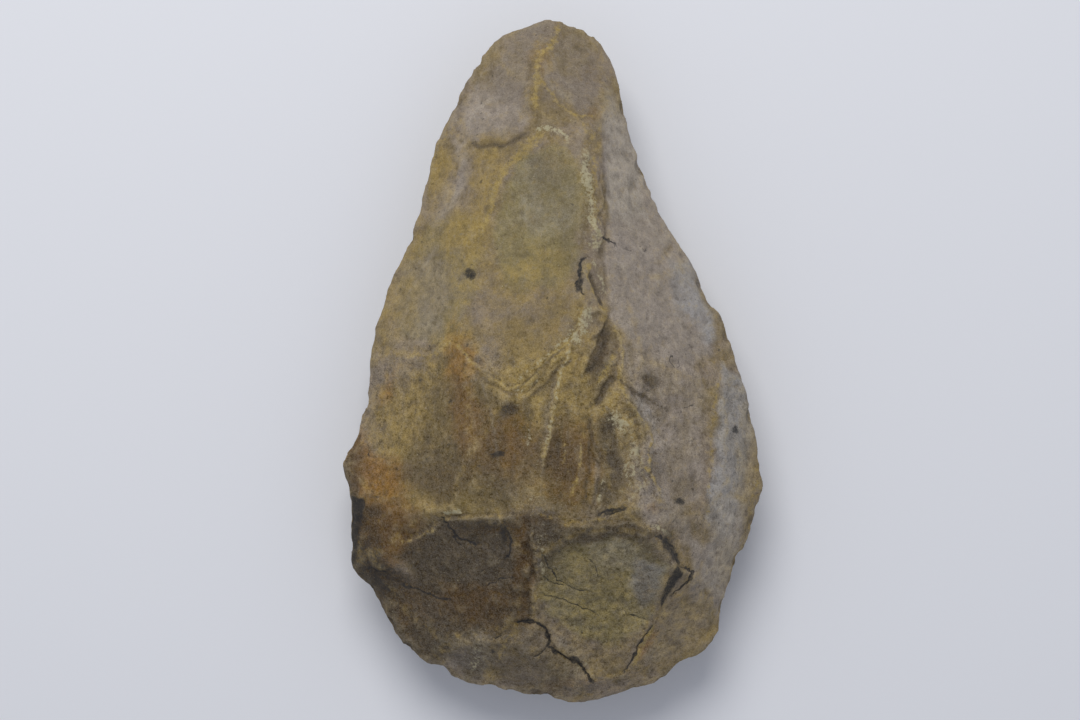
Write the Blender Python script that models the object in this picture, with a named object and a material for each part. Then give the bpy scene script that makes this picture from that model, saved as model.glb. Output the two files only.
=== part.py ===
"""A stone hand axe: one flaked stone, lying on its flatter face with its tip towards +Y.

The blank is a lens of stone with a pear-shaped outline. Every flake scar is a shallow dish that is
cut out of it, and where two dishes meet they leave the ridge between the scars.
Metres, +Z up. The origin is under the middle of the stone, on the surface that it lies on.
"""

import bisect
import math
import random

import bmesh
import bpy

# Driving sizes, in metres
AXE_LENGTH = 0.1710
AXE_WIDTH = 0.1056
CROWN_HEIGHT = 0.027  # the blank above the plane of its edge
BELLY_DEPTH = 0.0215  # the blank below the plane of its edge
REST_CUT = 0.0020  # how deep the resting spot is cut into the belly
EDGE_DIP = 0.0003  # how far a scar that runs off the stone drops below the edge
RIM_WAVE = 0.0012  # how far the edge wanders up and down on its way round

# Proportions
CROWN_ROUNDNESS = 2.0  # power of the crown's fall towards the tip's edge
BELLY_ROUNDNESS = 2.2
BUTT_FULLNESS = 0.8  # what the power gains towards the butt, which is blunter
SCAR_HOLLOW = 0.075  # sag of a dish, as a share of its half width
SCAR_LIP = 0.30  # how fast a dish rises past its own end
CUTTER_REACH = 2.1  # how far a cutter runs past its scar, as a share of the scar's radius
CUTTER_LID = 1.6  # height of a cutter's lid, as a share of the blank's

# Counts
POINTS_PER_SPAN = 3  # outline points made between two chosen ones
BLANK_RINGS = 5
DISH_SIDES = 20
CHORD_STEPS = 14
DISH_RINGS = (0.35, 0.65, 0.9, 1.15, 1.5, CUTTER_REACH)
BELLY_SEED = 11

STONE_COLOUR = (0.225, 0.170, 0.105, 1.0)
STONE_ROUGHNESS = 0.82
SLIVER_WIDTH = 0.00003  # thinner leftovers of the cuts are taken out of the mesh
SHARP_ANGLE = math.radians(11)

# Where the faces are highest, as shares of the width and the length from the middle
CROWN_CENTRE = (0.066, -0.081)
BELLY_CENTRE = (0.010, -0.060)

# The outline seen from above, clockwise from the tip: percent of the width and of the length
OUTLINE = (
    (-3.4, 53.0), (4.0, 51.8), (9.0, 49.2), (12.8, 45.6), (16.6, 41.0), (19.6, 36.0), (20.8, 31.0), (22.4, 26.2),
    (26.8, 21.4), (30.6, 16.6), (35.0, 12.0), (37.2, 8.6), (41.0, 5.4), (43.4, 0.4), (45.6, -4.4), (49.4, -9.8),
    (50.6, -16.2), (49.6, -20.8), (46.8, -26.4), (43.0, -31.4), (39.8, -37.0), (39.2, -43.4), (28.8, -46.2),
    (17.0, -48.8), (6.0, -50.4), (-4.0, -49.8), (-14.0, -48.2), (-22.8, -47.2), (-27.6, -44.8), (-36.8, -43.8),
    (-39.2, -38.2), (-43.4, -33.6), (-48.2, -30.4), (-48.1, -26.0), (-49.4, -19.4), (-49.7, -15.0),
    (-46.4, -11.4), (-44.4, -6.0), (-43.2, -0.4), (-41.6, 5.0), (-40.0, 9.8), (-37.0, 14.2), (-33.2, 19.4),
    (-30.6, 23.6), (-30.2, 27.6), (-27.4, 32.0), (-23.2, 37.2), (-20.8, 42.4), (-17.2, 47.8), (-11.8, 51.4),
)

# The scars of the upper face: name, place across and along, turn in degrees, half length, half width, drop.
# Places are percent of the width and of the length, half sizes are percent of the length, the drop is in
# percent of the crown's height and lets a late scar bite below the ones before it.
UPPER_SCARS = (
    ("tip left", -9.5, 45.2, 45, 5.9, 3.8, 0),
    ("upper left", -14.7, 36.8, 5, 7.0, 6.1, 0),
    ("tip right", 6.6, 42.0, -75, 7.6, 5.0, 0),
    ("tip base", 1.4, 36.2, -25, 5.0, 2.9, 0),
    ("left shoulder", -25.8, 27.5, 75, 7.3, 3.2, 0),
    ("left brown", -16.1, 25.5, 53, 12.0, 4.4, 0),
    ("left middle", -35.6, 9.4, 78, 10.4, 9.6, 0),
    ("centre long", -6.4, 14.6, 75, 18.4, 9.7, 0),
    ("right upper", 18.0, 28.5, 85, 11.9, 6.4, 0),
    ("right long", 26.5, 10.2, -70, 17.6, 8.8, 0),
    ("right wide", 31.3, -10.3, 90, 14.8, 7.4, 0),
    ("right margin", 44.0, -11.8, 90, 12.3, 3.5, 0),
    ("right low", 38.4, -27.6, 75, 8.8, 6.1, 0),
    ("right foot", 28.0, -41.0, 45, 9.4, 5.9, 0),
    ("butt right", 11.4, -35.0, 90, 13.4, 11.4, 0),
    ("butt left", -22.5, -30.8, 6, 13.4, 7.9, 0),
    ("butt low left", -34.2, -36.6, -42, 9.0, 5.2, 0),
    ("grey foot", -23.2, -43.3, -30, 5.3, 3.8, 0),
    ("butt foot", -4.7, -45.5, -15, 8.2, 5.0, 0),
    ("left hollow", -30.1, -9.6, 85, 11.7, 9.4, 0),
    ("left knob", -43.6, -17.4, 0, 4.7, 3.8, 0),
    ("left low", -37.0, -23.0, 5, 7.4, 3.9, 0),
    ("hump left", -9.5, -13.3, 90, 11.1, 5.6, 0),
    ("hump right", 5.7, -11.8, 90, 13.2, 6.1, 0),
    ("step dark", 16.1, -13.3, 90, 10.5, 3.8, 0),
    ("step top", 9.5, 6.4, 55, 3.8, 2.6, 0),
    ("ridge strip", 10.8, 20.5, 88, 12.5, 1.9, 4),
)

# The belly's scars run in rings round it: how many, distance from the middle to the edge, first turn,
# half length and half width, both as shares of the way to the edge
BELLY_RINGS = (
    (13, 0.80, 0.15, 0.24, 0.27),
    (7, 0.56, 0.60, 0.20, 0.26),
)


def smooth_outline():
    """The outline's points as a closed curve through the chosen ones, in metres."""
    chosen = [(across * AXE_WIDTH / 100, along * AXE_LENGTH / 100) for across, along in OUTLINE]
    count = len(chosen)
    curve = []
    for index in range(count):
        before, start, end, after = (chosen[(index + step) % count] for step in (-1, 0, 1, 2))
        for part in range(POINTS_PER_SPAN):
            t = part / POINTS_PER_SPAN
            curve.append(tuple(
                0.5 * (2 * s + (e - b) * t + (2 * b - 5 * s + 4 * e - a) * t**2 + (3 * s - b - 3 * e + a) * t**3)
                for b, s, e, a in zip(before, start, end, after)
            ))
    return curve


class Face:
    """One face of the blank: a dome over the outline, up for the crown and down for the belly."""

    def __init__(self, outline, centre, height, roundness, side):
        self.centre = (centre[0] * AXE_WIDTH, centre[1] * AXE_LENGTH)
        self.height = height
        self.roundness = roundness
        self.side = side
        polar = sorted(
            (math.atan2(y - self.centre[1], x - self.centre[0]), math.dist((x, y), self.centre))
            for x, y in outline
        )
        self.angles = [angle for angle, _ in polar]
        self.radii = [radius for _, radius in polar]

    def radius(self, angle):
        """Distance from the centre to the outline at this angle."""
        high = bisect.bisect(self.angles, angle) % len(self.angles)
        low = high - 1
        gap = (self.angles[high] - self.angles[low]) % math.tau
        share = ((angle - self.angles[low]) % math.tau) / gap
        return self.radii[low] * (1 - share) + self.radii[high] * share

    def dome(self, share, angle):
        """Height over the edge's plane at this share of the way to the edge, in this direction."""
        power = self.roundness + BUTT_FULLNESS * (1 - math.sin(angle)) / 2
        return self.height * (1 - share**power)

    def level(self, x, y):
        """Height over the edge's plane, positive on either face, and negative outside the outline."""
        angle = math.atan2(y - self.centre[1], x - self.centre[0])
        return self.dome(math.dist((x, y), self.centre) / self.radius(angle), angle)

    def end_of_chord(self, place, direction, half):
        """How far a scar runs this way, and the level there: to its own end, or to the stone's edge."""
        inside, outside = 0.0, half
        for _ in range(CHORD_STEPS):
            trial = (inside + outside) / 2
            if self.level(place[0] + direction[0] * trial, place[1] + direction[1] * trial) > -EDGE_DIP:
                inside = trial
            else:
                outside = trial
        return inside, self.level(place[0] + direction[0] * inside, place[1] + direction[1] * inside)

    def chord(self, place, direction, half):
        """Level at the place, and slope along the direction, of the chord between a scar's two ends."""
        ahead, high = self.end_of_chord(place, direction, half)
        behind, low = self.end_of_chord(place, (-direction[0], -direction[1]), half)
        slope = (high - low) / (ahead + behind)
        return low + slope * behind, slope


def edge_height(x, y):
    """The wandering height of the edge, so that it isn't a flat line from the side."""
    angle = math.atan2(y / AXE_LENGTH, x / AXE_WIDTH)
    return RIM_WAVE * (0.6 * math.sin(3 * angle + 0.8) + 0.4 * math.sin(7 * angle + 2.1))


def add_ring(shape, points):
    return [shape.verts.new(point) for point in points]


def bridge(shape, first, second):
    """Quads between two rings of as many vertices."""
    count = len(first)
    for index in range(count):
        after = (index + 1) % count
        shape.faces.new((first[index], first[after], second[after], second[index]))


def fan(shape, ring, tip):
    """Triangles from a ring to one vertex."""
    count = len(ring)
    for index in range(count):
        shape.faces.new((ring[index], ring[(index + 1) % count], tip))


def mesh_object(name, shape):
    """An object in the scene from a finished bmesh, with its faces pointing out."""
    bmesh.ops.recalc_face_normals(shape, faces=shape.faces)
    mesh = bpy.data.meshes.new(name)
    shape.to_mesh(mesh)
    shape.free()
    made = bpy.data.objects.new(name, mesh)
    bpy.context.scene.collection.objects.link(made)
    return made


def make_blank(outline, crown, belly):
    """The unflaked stone: rings of the outline drawn in towards each face's highest point."""
    shape = bmesh.new()
    rim = add_ring(shape, [(x, y, edge_height(x, y)) for x, y in outline])
    for face in (crown, belly):
        outer = rim
        for step in range(1, BLANK_RINGS):
            share = math.cos(step / BLANK_RINGS * math.pi / 2)
            points = []
            for x, y in outline:
                level = face.dome(share, math.atan2(y - face.centre[1], x - face.centre[0]))
                wave = edge_height(x, y) * share**4
                across = face.centre[0] + (x - face.centre[0]) * share
                along = face.centre[1] + (y - face.centre[1]) * share
                points.append((across, along, wave + face.side * level))
            inner = add_ring(shape, points)
            bridge(shape, outer, inner)
            outer = inner
        fan(shape, outer, shape.verts.new((*face.centre, face.side * face.height)))
    return mesh_object("blank", shape)


def make_cutter(name, face, place, turn, reach, spread, drop):
    """A dish over one scar, closed by a lid outside the stone."""
    along = (math.cos(turn), math.sin(turn))
    across = (-along[1], along[0])

    def spot(u, v):
        return (place[0] + along[0] * u + across[0] * v, place[1] + along[1] * u + across[1] * v)

    middle_along, slope_along = face.chord(place, along, reach)
    middle_across, slope_across = face.chord(place, across, spread)
    middle = (middle_along + middle_across) / 2 - drop
    sag = SCAR_HOLLOW * spread

    shape = bmesh.new()
    lid_level = face.side * CUTTER_LID * face.height
    rings = []
    for share in DISH_RINGS:
        points = []
        for side in range(DISH_SIDES):
            angle = side / DISH_SIDES * math.tau
            u = reach * share * math.cos(angle)
            v = spread * share * math.sin(angle)
            rise = sag * (share**2 - 1) + SCAR_LIP * spread * max(0, share - 1) ** 2
            level = middle + slope_along * u + slope_across * v + rise
            points.append((*spot(u, v), face.side * level))
        rings.append(add_ring(shape, points))
    rings.append(add_ring(shape, [(vertex.co.x, vertex.co.y, lid_level) for vertex in rings[-1]]))
    fan(shape, rings[0], shape.verts.new((*place, face.side * (middle - sag))))
    for inner, outer in zip(rings, rings[1:]):
        bridge(shape, inner, outer)
    fan(shape, rings[-1], shape.verts.new((*place, lid_level)))
    return mesh_object(name, shape)


def upper_cutters(crown):
    """The scars of the upper face, from the table."""
    made = []
    for name, across, along, turn, reach, spread, drop in UPPER_SCARS:
        made.append(make_cutter(
            "scar " + name,
            crown,
            (across * AXE_WIDTH / 100, along * AXE_LENGTH / 100),
            math.radians(turn),
            reach * AXE_LENGTH / 100,
            spread * AXE_LENGTH / 100,
            drop * CROWN_HEIGHT / 100,
        ))
    return made


def belly_cutters(belly):
    """The scars of the lower face: two rings of them, struck inwards from the edge."""
    chance = random.Random(BELLY_SEED)
    made = []
    for ring, (count, share, first, reach, spread) in enumerate(BELLY_RINGS):
        for index in range(count):
            angle = (index + first + chance.uniform(-0.18, 0.18)) / count * math.tau - math.pi
            angle = (angle + math.pi) % math.tau - math.pi
            radius = belly.radius(angle)
            away = radius * (share + chance.uniform(-0.03, 0.03))
            place = (belly.centre[0] + away * math.cos(angle), belly.centre[1] + away * math.sin(angle))
            made.append(make_cutter(
                f"belly scar {ring}.{index}",
                belly,
                place,
                angle + math.radians(chance.uniform(-16, 16)),
                radius * reach * chance.uniform(0.9, 1.15),
                radius * spread * chance.uniform(0.85, 1.1),
                0.0,
            ))
    return made


def rest_cutter(belly):
    """A block that takes the small flat spot off the belly, which the stone lies on."""
    shape = bmesh.new()
    bmesh.ops.create_cube(shape, size=1.0)
    top = -(belly.height - REST_CUT)
    for vertex in shape.verts:
        vertex.co.x *= AXE_WIDTH
        vertex.co.y *= AXE_LENGTH
        vertex.co.z = top if vertex.co.z > 0 else top - belly.height
    return mesh_object("rest", shape)


def hide_in_collection(name, objects):
    """Puts the cutters in a collection of their own, drawn as wires and left out of renders."""
    group = bpy.data.collections.new(name)
    bpy.context.scene.collection.children.link(group)
    for cutter in objects:
        bpy.context.scene.collection.objects.unlink(cutter)
        group.objects.link(cutter)
        cutter.hide_render = True
        cutter.display_type = "WIRE"
    return group


def cut_away(blank, cutters):
    """Subtracts every cutter from the blank in one Boolean and keeps the result as the blank's mesh."""
    modifier = blank.modifiers.new("flaking", "BOOLEAN")
    modifier.operation = "DIFFERENCE"
    modifier.solver = "EXACT"
    modifier.operand_type = "COLLECTION"
    modifier.collection = hide_in_collection("cutters", cutters)
    graph = bpy.context.evaluated_depsgraph_get()
    flaked = bpy.data.meshes.new_from_object(blank.evaluated_get(graph))
    blank.modifiers.clear()
    blank.data = flaked
    for cutter in cutters:
        bpy.data.objects.remove(cutter)


def clean_and_place(blank):
    """Takes out slivers, makes triangles, and moves the origin to the bottom of the stone's box."""
    shape = bmesh.new()
    shape.from_mesh(blank.data)
    bmesh.ops.triangulate(shape, faces=shape.faces)
    bmesh.ops.dissolve_degenerate(shape, edges=shape.edges, dist=SLIVER_WIDTH)
    bmesh.ops.triangulate(shape, faces=shape.faces)
    lowest = [min(vertex.co[axis] for vertex in shape.verts) for axis in range(3)]
    highest = [max(vertex.co[axis] for vertex in shape.verts) for axis in range(3)]
    middle = [(low + high) / 2 for low, high in zip(lowest, highest)]
    for vertex in shape.verts:
        vertex.co.x -= middle[0]
        vertex.co.y -= middle[1]
        vertex.co.z -= lowest[2]
    shape.to_mesh(blank.data)
    shape.free()
    print("box moved by", [round(1000 * value, 3) for value in (middle[0], middle[1], lowest[2])])


def stone_material():
    material = bpy.data.materials.new("brown stone")
    material.use_nodes = True
    shader = material.node_tree.nodes["Principled BSDF"]
    shader.inputs["Base Color"].default_value = STONE_COLOUR
    shader.inputs["Roughness"].default_value = STONE_ROUGHNESS
    return material


def main():
    for old in list(bpy.data.objects):
        bpy.data.objects.remove(old)
    outline = smooth_outline()
    crown = Face(outline, CROWN_CENTRE, CROWN_HEIGHT, CROWN_ROUNDNESS, 1)
    belly = Face(outline, BELLY_CENTRE, BELLY_DEPTH, BELLY_ROUNDNESS, -1)
    axe = make_blank(outline, crown, belly)
    cut_away(axe, upper_cutters(crown) + belly_cutters(belly) + [rest_cutter(belly)])
    clean_and_place(axe)
    axe.name = "hand_axe"
    axe.data.name = "hand_axe"
    axe.data.materials.append(stone_material())
    axe.data.shade_smooth()
    axe.data.set_sharp_from_angle(angle=SHARP_ANGLE)


main()
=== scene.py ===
import math
import random

import bmesh
import bpy
import numpy as np
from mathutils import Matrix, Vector
from mathutils.kdtree import KDTree


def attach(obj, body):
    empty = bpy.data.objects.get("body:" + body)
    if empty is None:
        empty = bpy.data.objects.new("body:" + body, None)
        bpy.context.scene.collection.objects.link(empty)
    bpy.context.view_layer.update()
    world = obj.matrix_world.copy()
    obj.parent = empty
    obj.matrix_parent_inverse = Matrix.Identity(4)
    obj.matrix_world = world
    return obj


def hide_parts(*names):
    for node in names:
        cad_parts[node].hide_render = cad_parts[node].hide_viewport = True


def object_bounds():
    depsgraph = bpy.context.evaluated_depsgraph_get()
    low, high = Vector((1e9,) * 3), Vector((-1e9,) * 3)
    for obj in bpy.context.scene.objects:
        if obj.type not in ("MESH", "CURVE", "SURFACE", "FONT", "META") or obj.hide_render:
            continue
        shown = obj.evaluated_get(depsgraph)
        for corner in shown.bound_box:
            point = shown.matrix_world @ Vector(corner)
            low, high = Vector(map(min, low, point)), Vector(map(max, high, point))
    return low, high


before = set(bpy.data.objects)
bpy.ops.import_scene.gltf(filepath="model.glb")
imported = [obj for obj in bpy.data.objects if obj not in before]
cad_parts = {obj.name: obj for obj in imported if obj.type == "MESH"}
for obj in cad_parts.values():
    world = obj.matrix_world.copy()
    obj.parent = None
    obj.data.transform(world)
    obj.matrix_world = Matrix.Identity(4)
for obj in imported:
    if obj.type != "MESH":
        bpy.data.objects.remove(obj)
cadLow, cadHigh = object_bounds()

# The stone hand axe, dressed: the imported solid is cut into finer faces, worn, chipped and cracked,
# and painted by fields that its one stone material reads. Marks are placed by pixels of the photo.

mm = 0.001

# where the photo was taken from, and how its pixels lie on the stone
photoView = {
    "width": 1080,
    "height": 720,
    "pixelsPerMm": 4.0,        # at the height of the rim
    "rimHeight": 0.0195,
    "cameraAcross": -0.003521,
    "cameraAlong": 0.000572,
    "cameraAbove": 0.650,      # over the rim
    "sensor": 36.0,
}


def photoPixels(points):
    # where each point of the stone falls in the photo
    above = photoView["cameraAbove"]
    scale = photoView["pixelsPerMm"] / mm * above / (above - points[:, 2] + photoView["rimHeight"])
    px = photoView["width"] / 2 + (points[:, 0] - photoView["cameraAcross"]) * scale
    py = photoView["height"] / 2 - (points[:, 1] - photoView["cameraAlong"]) * scale
    return px, py


def smooth(low, high, value):
    share = np.clip((value - low) / (high - low), 0, 1)
    return share * share * (3 - 2 * share)


# even noise over points, in numpy so that it stays quick
def cellValue(x, y, z, seed):
    mixed = (x * 73856093) ^ (y * 19349663) ^ (z * 83492791) ^ (seed * 40503)
    mixed = (mixed ^ (mixed >> 13)) * 1274126177 & 0x7FFFFFFF
    mixed = (mixed ^ (mixed >> 15)) * 668265263 & 0x7FFFFFFF
    return mixed / 0x3FFFFFFF - 1


def noiseOnce(points, size, seed):
    scaled = points / size + 1000 + seed * 7.31
    cell = np.floor(scaled).astype(np.int64)
    part = scaled - cell
    part = part * part * part * (part * (part * 6 - 15) + 10)
    total = np.zeros(len(points))
    for dx in (0, 1):
        for dy in (0, 1):
            for dz in (0, 1):
                share = (
                    (part[:, 0] if dx else 1 - part[:, 0])
                    * (part[:, 1] if dy else 1 - part[:, 1])
                    * (part[:, 2] if dz else 1 - part[:, 2])
                )
                total += share * cellValue(cell[:, 0] + dx, cell[:, 1] + dy, cell[:, 2] + dz, seed)
    return total


def noiseOver(points, size, layers, seed):
    # about -1 to 1; each layer is turned so that no grid shows
    turn = np.array([[0.80, 0.36, -0.48], [-0.60, 0.48, -0.64], [0.0, 0.80, 0.60]])
    total, strength, whole = np.zeros(len(points)), 1.0, 0.0
    for layer in range(layers):
        total += strength * noiseOnce(points, size, seed + 17 * layer)
        whole += strength
        points = points @ turn
        size, strength = size * 0.5, strength * 0.5
    return total / whole * 1.6


# marks are drawn in the photo's pixels
def alongLine(px, py, line):
    # distance to a line of pixels, which side (right-hand is positive), and how it fades at its ends
    best = np.full(len(px), 1e9)
    side = np.zeros(len(px))
    way = np.zeros(len(px))
    walked = 0.0
    for (x0, y0), (x1, y1) in zip(line, line[1:]):
        dx, dy = x1 - x0, y1 - y0
        length = math.hypot(dx, dy)
        share = np.clip(((px - x0) * dx + (py - y0) * dy) / length**2, 0, 1)
        vx, vy = px - x0 - share * dx, py - y0 - share * dy
        apart = np.hypot(vx, vy)
        nearer = apart < best
        best = np.where(nearer, apart, best)
        side = np.where(nearer, np.sign(dx * vy - dy * vx), side)
        way = np.where(nearer, walked + share * length, way)
        walked += length
    taper = smooth(0, 0.18 * walked + 1, np.minimum(way, walked - way) + 0.06 * walked)
    return best, side, taper


def insideArea(px, py, corners):
    # distance into a closed area, negative outside it
    inside = np.zeros(len(px), bool)
    for (x0, y0), (x1, y1) in zip(corners, corners[1:] + corners[:1]):
        if y0 != y1:
            crosses = ((y0 > py) != (y1 > py)) & (px < (x1 - x0) * (py - y0) / (y1 - y0) + x0)
            inside ^= crosses
    apart = alongLine(px, py, list(corners) + [corners[0]])[0]
    return np.where(inside, apart, -apart)


# how the stone's mesh is made
stoneMesh = {
    "faceSize": 0.72 * mm,
    "mostTriangles": 190000,     # the underside is thinned out until the stone has no more
    "arrisAngle": 10.0,          # degrees; sharper edges of the solid are kept as arrises
    "arrisStep": 0.5 * mm,
    "sameSpot": 0.002 * mm,
    "keepNear": (0.5 * mm, 2.6 * mm),
    "smoothRounds": 24,
    "wearRounds": 3,
    "smoothStep": 0.5,
    "rimBand": (1.0 * mm, 2.6 * mm),   # smoothed like the faces, so that no teeth are left
    "rimReach": 2.5 * mm,
    "rimRounds": 14,
    "rimPolish": 14,
    "rimLeast": 0.02,
    "rimHold": 4.0,              # how soon the pull reaches its full strength
    "edgeTilt": 0.5,             # the rim is where the surface is steeper than this
    "chipTilt": 0.45,
    "topTilt": 0.1,
    "underTilt": -0.30,          # what looks down more than this may be thinned out
    "underFirst": 1000,
    "formBands": (5.0,),         # pixels beside a ledge or rib that are cut finer
    "crackBands": (4.6, 2.4),    # the same beside a crack, once and once more
}


def pointsOf(mesh):
    flat = np.empty(len(mesh.vertices) * 3)
    mesh.vertices.foreach_get("co", flat)
    return flat.reshape(-1, 3)


def normalsOf(mesh):
    flat = np.empty(len(mesh.vertices) * 3)
    mesh.vertices.foreach_get("normal", flat)
    return flat.reshape(-1, 3)


def setPoints(mesh, points):
    mesh.vertices.foreach_set("co", points.ravel())
    mesh.update()


def edgesOf(mesh):
    flat = np.empty(len(mesh.edges) * 2, np.int64)
    mesh.edges.foreach_get("vertices", flat)
    return flat.reshape(-1, 2)


def neighbourMean(points, edges):
    count = np.bincount(edges.ravel(), minlength=len(points))
    mean = np.empty_like(points)
    for axis in range(3):
        total = np.bincount(edges[:, 0], points[edges[:, 1], axis], len(points))
        total += np.bincount(edges[:, 1], points[edges[:, 0], axis], len(points))
        mean[:, axis] = total / count
    return mean


def cutEdges(mesh, chosen):
    # cuts the chosen edges in two, and leaves no face with more than four corners
    shape = bmesh.new()
    shape.from_mesh(mesh)
    shape.edges.ensure_lookup_table()
    picked = [shape.edges[index] for index in np.flatnonzero(chosen)]
    bmesh.ops.subdivide_edges(shape, edges=picked, cuts=1, use_grid_fill=True)
    many = [face for face in shape.faces if len(face.verts) > 4]
    bmesh.ops.triangulate(shape, faces=many)
    shape.to_mesh(mesh)
    shape.free()
    mesh.update()


def pointsAlong(solid, wanted):
    # points along those edges of the solid that are wanted
    shape = bmesh.new()
    shape.from_mesh(solid.data)
    bmesh.ops.remove_doubles(shape, verts=shape.verts, dist=stoneMesh["sameSpot"])
    found = []
    for edge in shape.edges:
        if len(edge.link_faces) == 2 and wanted(edge):
            start, end = edge.verts[0].co, edge.verts[1].co
            steps = max(1, round((end - start).length / stoneMesh["arrisStep"]))
            found += [start.lerp(end, step / steps) for step in range(steps + 1)]
    shape.free()
    return found


def isArris(edge):
    return edge.calc_face_angle(0) > math.radians(stoneMesh["arrisAngle"])


def isRim(edge):
    # a face that looks up meets one that looks down
    return edge.link_faces[0].normal.z * edge.link_faces[1].normal.z < 0


def nearestTo(found, points):
    # how far each point lies from the nearest of the found ones, and where that one is
    tree = KDTree(len(found))
    for index, point in enumerate(found):
        tree.insert(point, index)
    tree.balance()
    hits = [tree.find(point) for point in points]
    return np.array([hit[2] for hit in hits]), np.array([hit[0][:] for hit in hits])


def evenMesh(solid):
    # the solid again in small even faces
    made = bpy.data.objects.new("flaked_stone", solid.data.copy())
    bpy.context.scene.collection.objects.link(made)
    remesh = made.modifiers.new("even faces", "REMESH")
    remesh.mode = "VOXEL"
    remesh.voxel_size = stoneMesh["faceSize"]
    remesh.adaptivity = 0
    graph = bpy.context.evaluated_depsgraph_get()
    mesh = bpy.data.meshes.new_from_object(made.evaluated_get(graph))
    made.modifiers.clear()
    made.data = mesh
    mesh.name = "flaked_stone"
    mesh.materials.clear()
    return made


def refineNearLines(mesh, lines, bands):
    for band in bands:
        px, py = photoPixels(pointsOf(mesh))
        near = np.zeros(len(px), bool)
        for line in lines:
            near |= alongLine(px, py, line)[0] < band
        near &= normalsOf(mesh)[:, 2] > stoneMesh["topTilt"]
        edges = edgesOf(mesh)
        cutEdges(mesh, near[edges[:, 0]] & near[edges[:, 1]])


def softenFacets(mesh, arris, rim):
    # smooths the solid's facets away between the arrises, then wears everything a little
    points = pointsOf(mesh)
    edges = edgesOf(mesh)
    onRim = 1 - smooth(*stoneMesh["rimBand"], rim)
    free = np.maximum(smooth(*stoneMesh["keepNear"], arris), onRim)[:, None] * stoneMesh["smoothStep"]
    for _ in range(stoneMesh["smoothRounds"]):
        points += (neighbourMean(points, edges) - points) * free
    for _ in range(stoneMesh["wearRounds"]):
        points += (neighbourMean(points, edges) - points) * stoneMesh["smoothStep"]
    setPoints(mesh, points)


def restoreRim(mesh, rimLine):
    # draws the smoothed edge back out to the solid's rim, evenly, so that it stays free of teeth
    points = pointsOf(mesh)
    edges = edgesOf(mesh)
    thin = np.abs(normalsOf(mesh)[:, 2]) < stoneMesh["edgeTilt"]
    apart, nearest = nearestTo(rimLine, points[thin])
    close = (apart < stoneMesh["rimReach"]) * 1.0
    pull = np.zeros_like(points)
    weight = np.zeros((len(points), 3))
    pull[thin] = (nearest - points[thin]) * close[:, None]
    weight[thin] = close[:, None]
    for _ in range(stoneMesh["rimRounds"]):
        pull, weight = neighbourMean(pull, edges), neighbourMean(weight, edges)
    share = np.minimum(1, weight * stoneMesh["rimHold"])
    points += pull / (weight + stoneMesh["rimLeast"]) * share
    for _ in range(stoneMesh["rimPolish"]):
        points += (neighbourMean(points, edges) - points) * share * stoneMesh["smoothStep"]
    setPoints(mesh, points)


# how the relief is laid on
stoneRelief = {
    "wander": (0.45, 9.0, 3, 31),  # mm sideways, mm across, layers, seed: arrises and rim aren't straight
    "waves": ((0.22, 9.0, 2), (0.11, 3.4, 2), (0.05, 1.4, 1)),  # mm high, mm across, layers
    "waveSeed": 3,
    "coarser": 0.6,                # how much higher the waves are where the stone is coarse
    "pits": (1.7, 2, 9),           # mm across, layers, seed
    "pitFrom": (0.45, 0.95),
    "pitDepth": 0.10,
    "crustKnobs": 0.20,            # mm high on the cream crust
    "arrisCrumble": 0.16,
    "arrisReach": 0.9,             # mm
    "ledges": 1.35,                # scales of the named forms
    "ribs": 1.5,
    "grooves": 1.5,
    "rippleFade": 0.6,
    "crackSpread": 0.6,            # pixels that a crack's groove is wider than its black line
    "crackEnds": 0.4,              # how deep a crack is at its ends
    "upperFrom": (0.05, 0.35),     # tilts between which the named forms fade in
    "flatFrom": (0.2, 0.6),
}

# how unevenly each is laid on: middle, swing, mm across, layers, seed
unevenness = {
    "arris": (0.5, 1.0, 2.2, 2, 13),
    "ledges": (0.75, 0.5, 4.0, 2, 41),
    "ribs": (0.8, 0.6, 2.5, 2, 43),
    "crust": (0.4, 1.0, 1.1, 2, 51),
}

# shakes of the photo's pixels, so that no drawn mark runs straight: pixels, mm across, layers, seed
pixelShakes = {
    "areas": (5.0, 6.0, 3, 81),
    "broad": (1.5, 6.0, 3, 81),
    "fine": (0.9, 1.5, 2, 83),
    "jagged": (1.4, 1.1, 2, 85),
}

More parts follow.
